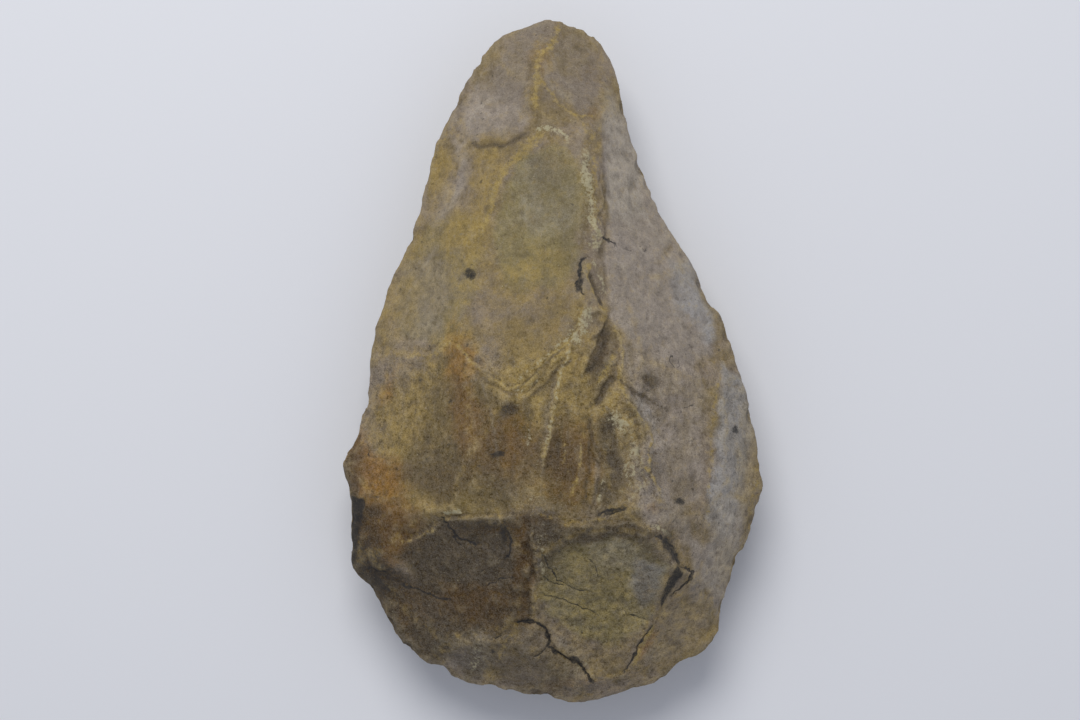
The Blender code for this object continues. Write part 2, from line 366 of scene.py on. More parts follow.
# right-hand side of the path lies lower: drop mm, reach mm, width of the edge mm, path
ledges = {
    "lip of the centre scar": (0.55, 3, 0.35, [(587, 300), (578, 324), (568, 342), (550, 356), (528, 381),
        (509, 387), (495, 380), (473, 362), (454, 345)]),
    "step in the butt": (0.9, 7, 0.5, [(531, 520), (530, 545), (533, 575), (531, 600), (527, 622)]),
    "crust ridge border": (0.5, 3.5, 0.4, [(604, 290), (604, 268), (600, 250), (605, 232), (598, 215),
        (604, 198), (597, 180), (600, 160)]),
    "lens by the black crack": (0.7, 2.5, 0.3, [(604, 306), (601, 294), (594, 282), (590, 272), (590, 262)]),
    "hump slit upper": (0.8, 3.2, 0.3, [(584, 377), (590, 358), (600, 336), (607, 322)]),
    "hump slit lower": (0.6, 2.6, 0.3, [(590, 409), (597, 395), (611, 373)]),
    "second lip": (0.5, 2.4, 0.3, [(576, 350), (552, 370), (538, 383), (518, 397)]),
    "right rib of the hump": (0.8, 4, 0.4, [(612, 310), (618, 345), (620, 377), (633, 408), (643, 438),
        (646, 468)]),
    "wedge": (0.5, 3, 0.3, [(607, 478), (603, 495), (594, 512)]),
    "dark step": (0.5, 3.5, 0.4, [(590, 412), (594, 432), (592, 452), (603, 468), (600, 486)]),
    "butt top left": (0.7, 4, 0.4, [(520, 514), (480, 514), (445, 518), (428, 533), (395, 546)]),
    "butt top right": (0.6, 4, 0.4, [(676, 546), (655, 528), (634, 521), (605, 524), (577, 526), (545, 516)]),
    "low left ridge": (0.3, 2.5, 0.4, [(457, 600), (430, 594), (406, 587), (368, 569)]),
    "foot flake": (0.5, 4, 0.4, [(517, 623), (535, 624), (547, 634), (552, 645), (565, 658), (580, 664),
        (590, 682)]),
    "left knob": (0.5, 3, 0.4, [(402, 460), (372, 458), (346, 462)]),
    "grey scar shoulder": (0.4, 3, 0.4, [(500, 640), (488, 632), (470, 628), (450, 632)]),
    "small lilac scar": (0.35, 3, 0.35, [(660, 432), (650, 408), (636, 392), (622, 380)]),
    "upper left scar foot": (0.35, 2.5, 0.4, [(534, 128), (518, 140), (500, 146), (480, 147), (468, 140)]),
}

# sunk lines: depth mm, half width px, path
grooves = {
    "under the centre lip": (0.3, 2.4, [(470, 366), (494, 385), (510, 392), (530, 386), (553, 361)]),
    "hump slit": (0.35, 2.2, [(610, 335), (600, 365), (586, 376)]),
    "hump slit low": (0.3, 2, [(607, 385), (593, 408)]),
    "lens slit": (0.35, 2, [(590, 275), (596, 288), (604, 305)]),
    "flute left of the rib": (0.22, 4, [(566, 352), (552, 385), (545, 425), (536, 465)]),
    "flute right of the rib": (0.22, 4, [(584, 352), (570, 385), (562, 425), (553, 470)]),
    "flute by the wedge": (0.25, 3, [(590, 452), (588, 480), (584, 505)]),
}

# raised lines: height mm, half width px, path
ribs = {
    "hump rib": (0.35, 3, [(575, 340), (566, 358), (560, 376), (555, 400), (552, 420), (547, 446),
        (542, 472)]),
    "crust ridge": (0.35, 7, [(596, 143), (591, 160), (589, 180), (590, 200), (594, 222), (597, 240),
        (594, 262)]),
    "tip ridge": (0.18, 3, [(560, 24), (556, 40), (545, 52), (538, 62), (537, 85), (535, 112)]),
    "tip branch": (0.14, 2.5, [(537, 72), (548, 88), (560, 103), (572, 112), (583, 115)]),
    "lens ridge": (0.4, 3, [(585, 300), (592, 312), (604, 311), (609, 318), (603, 330), (590, 341)]),
    "second lip": (0.3, 2.6, [(574, 346), (551, 366), (537, 379), (518, 393)]),
    "between the slits": (0.3, 4, [(617, 350), (610, 368), (598, 386)]),
    "border of the hump": (0.3, 2.2, [(612, 316), (620, 340), (622, 366), (618, 378)]),
    "small scar rib": (0.28, 3, [(617, 383), (633, 407), (647, 427), (652, 440), (648, 470), (657, 490),
        (662, 507)]),
    "wedge rib": (0.35, 3, [(595, 511), (600, 494), (606, 478)]),
    "cream knob": (0.35, 10, [(612, 408), (622, 425), (630, 436)]),
    "orange rib": (0.25, 2.5, [(640, 428), (646, 450), (648, 475)]),
    "left rib of the hump": (0.25, 3.5, [(486, 372), (488, 395), (493, 425), (497, 450), (499, 470)]),
}

# arcs that spread from where a flake was struck off: px of the blow, first and last px, spacing, height mm
ripples = {
    "tip": ((548, 6), 12, 48, 6.5, 0.045),
    "right long": ((716, 300), 26, 120, 15, 0.05),
    "right wide": ((760, 440), 30, 115, 16, 0.045),
    "left middle": ((366, 320), 22, 90, 12, 0.045),
    "left hollow": ((340, 420), 30, 130, 15, 0.05),
    "butt left": ((372, 610), 30, 140, 14, 0.055),
    "butt right": ((640, 690), 35, 160, 15, 0.045),
    "left brown": ((425, 150), 18, 70, 10, 0.04),
}

# flakes off the rim: px of the middle, how far the ball's middle stands off and up in mm, radius mm
rimFlakes = {
    "right sliver": ((707, 284), 1.3, 1.6, 2.6),
    "right notch": ((713, 301), 1.1, 0.4, 2),
    "left black notch": ((352, 520), 3.6, 3, 4.9),
    "left black notch low": ((353, 545), 2.4, 2.2, 3.3),
    "low left notch": ((441, 669), 2.4, 0.4, 3.6),
    "left shoulder": ((428, 172), 1.6, 0.8, 2.4),
    "left side": ((398, 238), 1.4, 0.6, 2.2),
    "left waist": ((372, 402), 1.4, 0.8, 2.4),
    "foot notch": ((545, 697), 1.6, 0.8, 2.6),
}
# where the rim stands out a little: px of the middle, mm outward, mm wide
rimBulges = {
    "low left": ((404, 632), 2, 6.5),
    "grey foot": ((474, 680), 0.8, 4),
    "tip left": ((504, 38), 1.6, 4.6),
    "tip right": ((582, 34), 0.6, 4),
    "right foot": ((702, 650), 1.2, 4),
}
rimNicks = {
    "count": 64,
    "radius": (1.8, 5.0),          # mm
    "lean": 1.1,                   # radians up or down
    "bite": (0.05, 0.16),          # how deep the ball goes, as a share of its radius
    "seed": 21,
    "tipFrom": 0.066,              # none above this, where the tip is worn round
}


def carveBall(points, centre, radius):
    # pushes what lies inside a ball out to its skin, as a flake scar
    away = points - centre
    apart = np.linalg.norm(away, axis=1)
    inside = (apart < radius) & (apart > 1e-9)
    points[inside] = centre + away[inside] / apart[inside, None] * radius


def chipRim(mesh):
    points = pointsOf(mesh)
    normals = normalsOf(mesh)
    px, py = photoPixels(points)
    onRim = np.abs(normals[:, 2]) < stoneMesh["chipTilt"]
    for (x, y), out, wide in rimBulges.values():
        nearest = np.flatnonzero(onRim)[np.argmin(np.hypot(px[onRim] - x, py[onRim] - y))]
        way = normals[nearest] * (1, 1, 0)
        apart = np.linalg.norm(points - points[nearest], axis=1) / (wide * mm)
        points += way / np.linalg.norm(way) * (out * mm * np.exp(-apart**2))[:, None]
    for (x, y), off, up, radius in rimFlakes.values():
        nearest = np.flatnonzero(onRim)[np.argmin(np.hypot(px[onRim] - x, py[onRim] - y))]
        out = normals[nearest] * (1, 1, 0)
        out /= np.linalg.norm(out)
        centre = points[nearest] + (out * off + np.array((0, 0, up))) * mm
        carveBall(points, centre, radius * mm)
    chance = random.Random(rimNicks["seed"])
    rim = np.flatnonzero(onRim & (points[:, 1] < rimNicks["tipFrom"]))
    for _ in range(rimNicks["count"]):
        spot = rim[chance.randrange(len(rim))]
        out = normals[spot] * (1, 1, 0)
        out /= np.linalg.norm(out)
        lean = chance.uniform(-rimNicks["lean"], rimNicks["lean"])
        radius = chance.uniform(*rimNicks["radius"])
        away = radius * (1 - chance.uniform(*rimNicks["bite"]))
        centre = points[spot] + (out * math.cos(lean) + np.array((0, 0, math.sin(lean)))) * away * mm
        carveBall(points, centre, radius * mm)
    setPoints(mesh, points)


def wanderPoints(mesh):
    points = pointsOf(mesh)
    amount, size, layers, seed = stoneRelief["wander"]
    moved = points.copy()
    for axis in range(2):
        moved[:, axis] += amount * mm * noiseOver(points, size * mm, layers, seed + axis)
    setPoints(mesh, moved)


def shakePixels(points, px, py, *names):
    for name in names:
        amount, size, layers, seed = pixelShakes[name]
        px = px + amount * noiseOver(points, size * mm, layers, seed)
        py = py + amount * noiseOver(points, size * mm, layers, seed + 1)
    return px, py


def uneven(points, name):
    middle, swing, size, layers, seed = unevenness[name]
    return middle + swing * noiseOver(points, size * mm, layers, seed)


def carveRelief(mesh, arris, px, py):
    points = pointsOf(mesh)
    normals = normalsOf(mesh)
    relief = stoneRelief
    upper = smooth(*relief["upperFrom"], normals[:, 2])
    lift = np.zeros(len(points))                   # mm along the normal
    coarser = 1 + relief["coarser"] * fields["coarse"]
    for height, size, layers in relief["waves"]:
        lift += height * noiseOver(points, size * mm, layers, relief["waveSeed"]) * coarser
    size, layers, seed = relief["pits"]
    lift -= relief["pitDepth"] * smooth(*relief["pitFrom"], noiseOver(points, size * mm, layers, seed))
    crumble = np.exp(-(arris / (relief["arrisReach"] * mm)) ** 2)
    flat = smooth(*relief["flatFrom"], np.abs(normals[:, 2]))
    lift -= relief["arrisCrumble"] * crumble * uneven(points, "arris") * flat
    ragged = uneven(points, "ledges")
    for drop, reach, edge, path in ledges.values():
        apart, side, taper = alongLine(px, py, path)
        across = apart * side / photoView["pixelsPerMm"]
        shape = smooth(-edge, edge, across) * np.exp(-np.maximum(across, 0) / reach)
        lift -= relief["ledges"] * drop * shape * taper * ragged * upper
    for depth, width, path in grooves.values():
        apart, _, taper = alongLine(px, py, path)
        lift -= relief["grooves"] * depth * np.exp(-(apart / width) ** 2) * taper * upper
    ragged = uneven(points, "ribs")
    for height, width, path in ribs.values():
        apart, _, taper = alongLine(px, py, path)
        lift += relief["ribs"] * height * np.exp(-(apart / width) ** 2) * taper * ragged * upper
    for (x, y), first, last, spacing, height in ripples.values():
        away = np.hypot(px - x, py - y)
        near, far = first * relief["rippleFade"], last * relief["rippleFade"]
        fade = smooth(near, first, away) * (1 - smooth(far, last, away))
        lift += height * np.sin(away / spacing * math.tau) * fade * upper
    ends = relief["crackEnds"]
    for depth, width, path in cracks.values():
        apart, _, taper = alongLine(px, py, path)
        groove = np.exp(-(apart / (width + relief["crackSpread"])) ** 2)
        lift -= depth * groove * (ends + (1 - ends) * taper) * upper
    lift += relief["crustKnobs"] * np.clip(fields["creamCrust"] * uneven(points, "crust"), 0, 2)
    moved = points + normals * lift[:, None] * mm
    moved[:, 2] = np.maximum(moved[:, 2], cadLow[2])
    setPoints(mesh, moved)


# dark hairlines: depth mm, half width px, path
cracks = {
    "foot crack": (0.45, 1.7, [(517, 623), (526, 622), (535, 624), (541, 627), (545, 632), (549, 637),
        (550, 642), (547, 648)]),
    "foot crack lower": (0.45, 1.8, [(548, 648), (555, 652), (562, 657), (572, 662), (578, 661),
        (582, 668), (584, 674), (590, 682), (594, 684)]),
    "foot branch": (0.2, 0.9, [(546, 649), (543, 654), (539, 656), (533, 655)]),
    "foot tail": (0.2, 1, [(497, 638), (501, 635), (505, 634)]),
    "black crack": (0.4, 2, [(586, 256), (580, 260), (577, 266), (578, 276), (577, 285), (581, 290),
        (585, 294)]),
    "right broken crack": (0.2, 1, [(600, 238), (606, 240), (614, 243), (618, 247)]),
    "right broken crack end": (0.15, 0.9, [(622, 248), (632, 249)]),
    "butt right long": (0.15, 0.9, [(540, 553), (548, 563), (556, 575), (563, 581), (571, 586), (582, 591),
        (592, 593)]),
    "butt right second": (0.12, 0.8, [(541, 576), (552, 582), (566, 586)]),
    "butt right low": (0.12, 0.9, [(541, 594), (560, 600), (578, 606), (590, 613), (598, 618)]),
    "butt right short": (0.1, 0.7, [(588, 558), (593, 567), (598, 575), (603, 582)]),
    "butt right far": (0.1, 0.7, [(622, 610), (634, 615), (648, 620)]),
    "butt left upper": (0.15, 1.2, [(438, 516), (448, 524), (452, 533), (458, 538), (466, 541), (480, 545)]),
    "butt left side": (0.12, 0.8, [(446, 520), (452, 530), (456, 542), (462, 546)]),
    "butt left mid": (0.15, 1.4, [(504, 520), (507, 534), (509, 550), (504, 562)]),
    "butt left low": (0.1, 0.8, [(480, 585), (492, 580), (502, 579), (513, 579)]),
    "under the low ridge": (0.15, 1.4, [(397, 583), (412, 590), (428, 595), (448, 599), (455, 601)]),
    "left nick": (0.2, 1.6, [(366, 568), (376, 569), (388, 573)]),
    "right foot side": (0.25, 1.3, [(651, 626), (646, 634), (641, 640), (637, 650), (632, 658), (628, 666),
        (623, 674)]),
    "wide scar dash": (0.08, 0.6, [(684, 409), (690, 406), (696, 405)]),
    "wide scar dash low": (0.08, 0.6, [(684, 443), (690, 441), (697, 440)]),
    "wide scar curl": (0.08, 0.6, [(673, 352), (672, 360), (676, 367), (681, 366), (679, 358)]),
    "hump side slit": (0.1, 0.8, [(366, 443), (368, 450), (369, 458)]),
    "black smear": (0.2, 2.2, [(594, 516), (604, 512), (614, 508), (624, 505)]),
    "black smear top": (0.15, 1.6, [(606, 516), (618, 511), (628, 506)]),
    "butt right rim": (0.25, 2.4, [(655, 533), (664, 538), (671, 546), (675, 556), (677, 566)]),
    "butt right corner": (0.25, 1.6, [(677, 567), (685, 568), (693, 571), (689, 580), (680, 589),
        (671, 597)]),
}

# filled areas: strength, corners
blackAreas = {
    "notch": (0.95, [(349, 497), (366, 498), (363, 512), (361, 530), (359, 545), (356, 556), (353, 535),
        (350, 515)]),
    "lens": (1.0, [(676, 566), (681, 574), (676, 585), (667, 598), (661, 612), (660, 600), (664, 586),
        (671, 575)]),
    "smear": (0.8, [(606, 509), (618, 505), (629, 504), (628, 509), (614, 513), (600, 518)]),
    "corner": (0.7, [(660, 534), (672, 540), (677, 552), (674, 566), (668, 556), (662, 546)]),
}
# spots: px of the middle, half width and half height in px, turn in degrees, strength; these black ones are
# stains, and some of them painted shade
blackSpots = {
    "crack head": (579, 284, 5, 10.5, 8, 1),
    # painted shade on the lower left rim
    "lower left rim": (370, 560, 26, 46, -30, 0.46),
    "low left": (396, 582, 34, 22, 30, 0.4),
    # painted shadow below the butt's top edge
    "under the butt's top edge": (488, 528, 44, 13, 0, 0.45),
    "corner of the foot": (504, 631, 24, 12, -10, 0.42),
    # painted shade along the foot's bottom edge
    "foot edge": (578, 690, 30, 11, 0, 0.4),
    "centre dot": (470, 275, 8, 6.5, 20, 1),
    "foot blob": (547, 637, 5, 4.5, 0, 0.95),
    "foot blob low": (575, 660, 6.5, 4.5, 25, 0.95),
    "foot blob end": (591, 682, 5, 4, 30, 0.9),
    "foot dot": (494, 652, 3, 3, 0, 0.9),
    "upper dot": (645, 250, 3.5, 2, 0, 0.7),
    "dot far right": (735, 430, 4, 5, 0, 0.85),
    "dot right": (712, 382, 3, 2.6, 0, 0.5),
    "dot low right": (680, 502, 7.5, 5, 0, 0.9),
    "blot": (505, 408, 11, 6, -15, 0.5),
    "blot low": (497, 455, 9, 5, -10, 0.9),
    "blot right": (526, 427, 5, 4.5, 0, 0.45),
    "stain of the small scar": (651, 388, 11, 8, 25, 0.42),
    "speck a": (450, 402, 2.6, 4, 0, 0.6),
    "speck b": (455, 446, 2.4, 4.2, 10, 0.6),
    "speck c": (461, 455, 2.6, 2.4, 0, 0.7),
    "speck d": (428, 458, 2.8, 2.6, 0, 0.7),
    "speck e": (478, 466, 3, 3, 0, 0.6),
    "speck f": (375, 500, 6, 2, 15, 0.5),
    "speck g": (382, 462, 3.4, 1.6, 0, 0.4),
    "speck h": (707, 563, 2.4, 2.4, 0, 0.6),
    "speck i": (560, 553, 2.4, 2, 0, 0.6),
    "speck j": (595, 652, 2.6, 2.2, 0, 0.5),
    "smudge": (668, 540, 13, 12, 30, 0.45),
    "shade by the butt": (503, 535, 5, 16, 0, 0.55),
    "left of the notch": (352, 560, 5, 7, 0, 0.6),
}

# lines of colour: strength, half width px, path
ochreLines = {
    "tip ridge": (0.72, 4.4, [(562, 22), (556, 40), (545, 52), (538, 62), (537, 85), (535, 112)]),
    "tip branch": (0.62, 2.2, [(537, 72), (548, 88), (560, 103), (572, 112), (583, 115), (595, 113),
        (604, 110)]),
    "under the tip": (0.55, 4, [(583, 115), (585, 126), (592, 140), (598, 132), (604, 118)]),
    "left diagonal": (0.85, 5, [(545, 128), (525, 150), (510, 165), (500, 180), (495, 192), (487, 215),
        (478, 240)]),
    "below the upper left scar": (0.42, 3.4, [(472, 142), (480, 152), (500, 150), (520, 143), (534, 133)]),
    "left rim": (0.55, 3.5, [(462, 118), (452, 128), (440, 145), (432, 160), (431, 175)]),
    "crust ridge": (0.6, 6, [(594, 150), (590, 188), (594, 222), (597, 250)]),
    "centre lip": (0.8, 3.4, [(495, 380), (509, 387), (528, 381), (550, 356), (568, 342), (578, 324),
        (587, 300)]),
    "hump rib": (0.6, 2.6, [(575, 340), (560, 376), (552, 420), (542, 470)]),
    "right rib": (0.65, 2.4, [(612, 316), (620, 340), (622, 366), (618, 380), (633, 407), (647, 427),
        (652, 440), (647, 470), (657, 490), (662, 507)]),
    "second lip": (0.6, 2.2, [(574, 347), (551, 366), (537, 380), (520, 394)]),
    "between the slits": (0.6, 3.6, [(616, 350), (608, 368), (596, 386)]),
    "left middle foot": (0.55, 3, [(398, 362), (432, 356), (452, 340), (470, 362), (490, 382)]),
    "butt top": (0.4, 3.4, [(392, 548), (428, 535), (446, 517), (520, 511), (577, 522), (634, 517),
        (676, 545)]),
    "right margin": (0.55, 2.6, [(722, 362), (716, 385), (712, 420), (712, 460), (710, 500), (706, 530)]),
    "right foot side": (0.65, 4, [(655, 622), (645, 640), (637, 655), (630, 672)]),
    "rim right": (0.45, 6, [(745, 380), (756, 420), (760, 460), (756, 500), (742, 545), (730, 590)]),
    "olive rim line": (0.45, 2.6, [(400, 545), (418, 532), (437, 520)]),
    "butt foot": (0.45, 4, [(497, 665), (506, 645), (517, 628)]),
    "hump streak": (0.55, 1.8, [(566, 396), (561, 430), (565, 462), (572, 486)]),
    "hump streak right": (0.6, 2, [(586, 424), (581, 452), (578, 480), (570, 503)]),
    "hump streak left": (0.55, 2, [(520, 402), (528, 418), (534, 412), (538, 398)]),
    "lens": (0.75, 2.6, [(587, 262), (588, 278), (593, 291), (601, 305), (606, 313)]),
    "step edge": (0.45, 3, [(533, 530), (536, 560), (535, 600), (532, 622)]),
}

rustSpots = {
    "left of the butt": (392, 532, 40, 34, 0, 0.55),
    "lower left": (398, 606, 44, 36, 30, 0.5),
    "butt left low": (478, 596, 54, 20, 8, 0.75),
    "butt left upper": (486, 528, 44, 9, 0, 0.5),
    "hump foot": (560, 500, 44, 12, 0, 0.4),
    "below the knob": (362, 516, 14, 34, 0, 0.45),
    "butt edge": (522, 568, 15, 62, 0, 1),
    "butt low left": (480, 616, 46, 18, 10, 0.55),
    "hump middle": (566, 470, 36, 44, 0, 0.45),
    "left low": (388, 530, 30, 22, 0, 0.45),
    "hollow low": (450, 480, 50, 26, 0, 0.4),
    "hump left": (512, 430, 20, 44, 0, 0.4),
    "tip right": (592, 70, 16, 26, 10, 0.35),
    "butt top": (540, 520, 60, 8, 0, 0.5),
    "left low rim": (380, 572, 26, 12, 25, 0.5),
    "right of the hump": (604, 350, 10, 30, 10, 0.5),
}

orangeAreas = {
    "below the knob": (384, 528, 52, 42, 0, 0.92),
    "butt low": (462, 606, 66, 17, 14, 0.75),
    "left hollow": (464, 396, 22, 80, -8, 0.8),
    "left hollow edge": (388, 388, 12, 24, 15, 0.55),
    "left knob": (374, 478, 48, 27, 0, 1),
    "left low": (392, 530, 34, 30, 0, 0.55),
    "left low rim": (372, 560, 22, 12, 20, 0.7),
    "hump top": (460, 352, 14, 14, 0, 0.45),
    "hump middle": (572, 465, 44, 56, 0, 0.75),
    "hump low left": (500, 448, 58, 44, 0, 0.62),
    "left knob rim": (354, 452, 20, 30, 0, 0.9),
    "hump right": (606, 350, 10, 30, 10, 0.45),
    "butt edge": (526, 565, 13, 58, 0, 0.9),
    "butt low left": (470, 615, 42, 20, 10, 0.4),
    "right foot edge": (645, 648, 10, 30, 25, 0.6),
    "below butt edge": (655, 512, 16, 10, 0, 0.3),
    "butt foot": (560, 685, 60, 8, 0, 0.45),
    "tip": (541, 60, 20, 30, 0, 0.35),
    "hump left": (508, 440, 24, 50, 0, 0.45),
    "tip foot": (600, 112, 14, 16, 0, 0.45),
    "centre ridge foot": (570, 335, 20, 20, 0, 0.3),
    "left rim low": (404, 600, 30, 8, 35, 0.45),
}

ochreAreas = {
    "left middle rim": (396, 308, 22, 44, 10, 0.5),
    "centre below the lip": (532, 382, 36, 22, -30, 0.45),
    "hump foot": (572, 488, 40, 20, 0, 0.8),
    "left of the middle": (446, 262, 44, 74, 15, 0.42),
    "left hollow": (440, 435, 76, 84, 0, 0.72),
    "tip middle": (541, 68, 13, 44, 5, 0.4),
    "left brown": (484, 170, 20, 34, 15, 0.62),
    "left shoulder face": (443, 178, 12, 36, 12, 0.45),
    "centre": (540, 300, 62, 60, 0, 0.46),
    "centre top": (556, 150, 20, 30, 0, 0.35),
    "centre left": (468, 232, 24, 22, 0, 0.6),
    "left shoulder": (440, 168, 9, 26, 10, 0.6),
    "left side": (408, 240, 14, 26, 20, 0.3),
    "left middle foot": (455, 345, 22, 18, 0, 0.5),
    "hump": (552, 425, 84, 92, 0, 0.72),
    "left hollow low": (455, 500, 60, 20, 0, 0.48),
    "left low": (395, 510, 40, 40, 0, 0.4),
    "step": (640, 470, 20, 44, 0, 0.2),
    "butt right": (590, 600, 72, 62, 0, 0.3),
    "right rim": (748, 470, 14, 90, 0, 0.45),
    "right foot": (690, 625, 40, 50, 20, 0.42),
    "right foot edge": (726, 560, 16, 30, 0, 0.5),
    "foot": (560, 672, 70, 20, 0, 0.3),
    "tip right rim": (622, 115, 10, 40, -20, 0.25),
}

lilacAreas = {
    "tip left foot": (0.55, [(448, 104), (484, 80), (488, 118), (464, 130), (446, 126)]),
    "below the small scar": (0.75, [(634, 440), (660, 436), (668, 470), (672, 522), (644, 530), (632, 480)]),
    "tip left": (0.5, [(500, 44), (528, 22), (552, 26), (548, 48), (532, 60), (528, 84), (500, 96),
        (484, 86)]),
    "tip right": (0.42, [(546, 58), (566, 30), (592, 38), (606, 64), (604, 96), (584, 110), (566, 104),
        (548, 84)]),
    "upper left": (0.6, [(480, 90), (524, 88), (530, 124), (514, 136), (482, 144), (466, 138), (464, 112)]),
    "left streak": (0.6, [(450, 128), (468, 140), (471, 176), (458, 206), (437, 230), (428, 222),
        (444, 192), (456, 160)]),
    "right long": (0.95, [(606, 122), (624, 112), (644, 168), (676, 226), (694, 268), (706, 312),
        (716, 350), (690, 366), (640, 352), (614, 318), (606, 268), (606, 210), (600, 160)]),
    "right wide": (0.55, [(622, 340), (690, 362), (710, 384), (706, 440), (706, 496), (682, 516),
        (662, 500), (652, 452), (640, 412), (622, 372)]),
    "left middle": (0.4, [(400, 262), (440, 240), (452, 300), (446, 338), (420, 352), (396, 354),
        (380, 330)]),
    "left hollow": (0.12, [(400, 372), (450, 372), (450, 440), (430, 490), (396, 470), (392, 420)]),
    "centre patch": (0.15, [(500, 310), (540, 300), (556, 330), (530, 370), (505, 372)]),
    "lower left": (0.22, [(400, 500), (436, 500), (430, 520), (404, 536)]),
    "right streaks": (0.65, [(652, 492), (668, 496), (690, 524), (700, 560), (684, 548), (660, 520)]),
    "butt left": (0.3, [(452, 530), (500, 530), (505, 570), (480, 590), (440, 575)]),
    "butt foot": (0.35, [(520, 632), (542, 634), (545, 650), (530, 660), (512, 650)]),
    "right foot": (0.98, [(690, 545), (738, 520), (736, 562), (716, 620), (706, 600), (690, 600)]),
    "right foot low": (0.45, [(668, 606), (700, 590), (712, 620), (690, 652), (650, 670), (640, 652)]),
    "right margin": (0.5, [(740, 380), (758, 420), (760, 480), (748, 530), (730, 560), (735, 480),
        (748, 430)]),
}

blueAreas = {
    "right rim upper": (0.62, [(664, 262), (692, 262), (712, 306), (722, 340), (704, 344), (676, 310)]),
    "right margin": (0.85, [(722, 360), (742, 380), (750, 420), (746, 470), (734, 522), (716, 530),
        (712, 500), (716, 440), (716, 395)]),
    "leaf by the right margin": (0.75, [(712, 486), (726, 482), (735, 500), (729, 524), (716, 536),
        (709, 514)]),
    "left middle": (0.34, [(396, 270), (428, 254), (452, 262), (456, 310), (440, 336), (412, 320),
        (392, 300)]),
    "centre top": (0.28, [(524, 156), (560, 148), (576, 176), (576, 232), (548, 248), (520, 220),
        (512, 184)]),
    "grey foot": (0.42, [(428, 642), (452, 630), (474, 624), (494, 640), (498, 668), (480, 682),
        (456, 676), (432, 660)]),
    "butt right end": (0.65, [(640, 560), (664, 570), (658, 600), (640, 606), (626, 584)]),
    "butt right top": (0.35, [(580, 545), (620, 535), (650, 555), (630, 575), (590, 570)]),
    "small scar": (0.45, [(628, 388), (650, 392), (662, 416), (658, 434), (640, 420)]),
    "hump foot": (0.3, [(545, 440), (560, 438), (556, 480), (540, 490)]),
    "foot": (0.4, [(552, 636), (572, 640), (590, 664), (580, 668), (560, 654)]),
    "butt left": (0.25, [(430, 545), (470, 540), (490, 560), (470, 580), (436, 572)]),
}

oliveAreas = {
    "centre": (0.7, [(520, 150), (570, 140), (584, 180), (582, 250), (560, 290), (500, 290), (488, 240),
        (504, 190)]),
    "left side": (0.55, [(440, 214), (476, 214), (486, 260), (460, 330), (440, 346), (400, 340),
        (396, 280), (412, 240)]),
    "butt right": (0.75, [(540, 540), (600, 526), (650, 540), (668, 570), (650, 620), (600, 650),
        (540, 612)]),
    "right foot": (0.25, [(668, 606), (706, 580), (712, 620), (690, 650), (650, 670), (640, 650)]),
    "hump": (0.25, [(500, 400), (545, 400), (600, 420), (600, 500), (520, 505), (500, 470)]),
    "low hollow": (0.45, [(430, 460), (500, 470), (520, 505), (440, 512)]),
    "right rim": (0.3, [(735, 380), (758, 420), (758, 500), (742, 540), (736, 480)]),
}

darkSpots = {
    "centre grey top": (540, 174, 32, 30, 0, 0.24),
    "centre low": (532, 326, 54, 28, -20, 0.26),
    "blot": (506, 408, 13, 9, -15, 0.85),
    "blot right": (528, 410, 9, 12, 0, 0.45),
    "small scar smear": (651, 381, 13, 8, 10, 0.75),
    "wide scar foot left": (655, 480, 30, 38, 0, 0.3),
    "left rim far low": (356, 560, 18, 30, 0, 0.6),
    "right of the hump foot": (650, 466, 22, 26, 0, 0.3),
    "beside the black lens": (648, 592, 20, 28, 0, 0.5),
    "above the black lens": (648, 556, 26, 20, 0, 0.35),
    "right of the butt step": (543, 545, 15, 40, 0, 0.42),
    "left rim foot": (404, 600, 30, 30, -30, 0.4),
    "above the butt left": (500, 492, 30, 22, 0, 0.5),
    "above the butt far left": (430, 524, 44, 14, -10, 0.25),
    "above the butt middle": (574, 510, 54, 14, 0, 0.42),
    "step foot": (612, 488, 24, 20, 0, 0.35),
    "wide scar low": (686, 486, 18, 20, 0, 0.35),
    "left rim low": (366, 582, 22, 44, -25, 0.6),
    "left knob rim": (354, 462, 18, 36, 0, 0.6),
    # painted shade in the hollow by the step
    "step upper": (607, 426, 11, 14, 0, 0.8),
    "step lower": (616, 472, 14, 20, 0, 0.6),
    "step by the wedge": (607, 492, 9, 14, 10, 0.55),
    "patch by the leaf mark": (676, 361, 7, 7, 0, 0.45),
    "left low": (402, 524, 34, 28, 10, 0.38),
    # painted shade in the slit and the hollow right of the hump
    "hump right": (602, 366, 14, 46, 12, 0.72),
    "dark step": (609, 446, 16, 28, -8, 0.8),
    "hump low": (560, 462, 52, 50, 0, 0.62),
    "hump left": (512, 440, 28, 52, 0, 0.4),
    "hollow low": (450, 476, 66, 32, 5, 0.34),
    "butt right foot": (618, 660, 30, 20, -20, 0.3),
    "wide scar foot": (668, 512, 20, 12, 0, 0.35),
    # painted shadow below the centre lip
    "under the lip": (540, 392, 30, 9, -30, 0.4),
    "right of the crack": (600, 284, 9, 24, -15, 0.35),
    "beside the crust": (604, 200, 5, 50, 0, 0.3),
    "butt right shade": (552, 556, 24, 34, 0, 0.45),
    "wide scar top": (645, 340, 20, 14, 0, 0.22),
}

crispDark = {
    "left of the butt step": (0.80, [(512, 522), (532, 522), (527, 545), (534, 566), (528, 590),
        (533, 606), (527, 622), (514, 622), (510, 570)]),
    # painted shadow below the butt's top edge
    "below the butt's top edge": (0.45, [(440, 520), (520, 517), (533, 524), (530, 536), (500, 532),
        (446, 534)]),
    "above the foot crack": (0.35, [(470, 610), (528, 600), (530, 622), (517, 624), (500, 636), (476, 628)]),
    "low left edge": (0.45, [(366, 566), (404, 584), (456, 602), (452, 610), (400, 594), (370, 578)]),
}
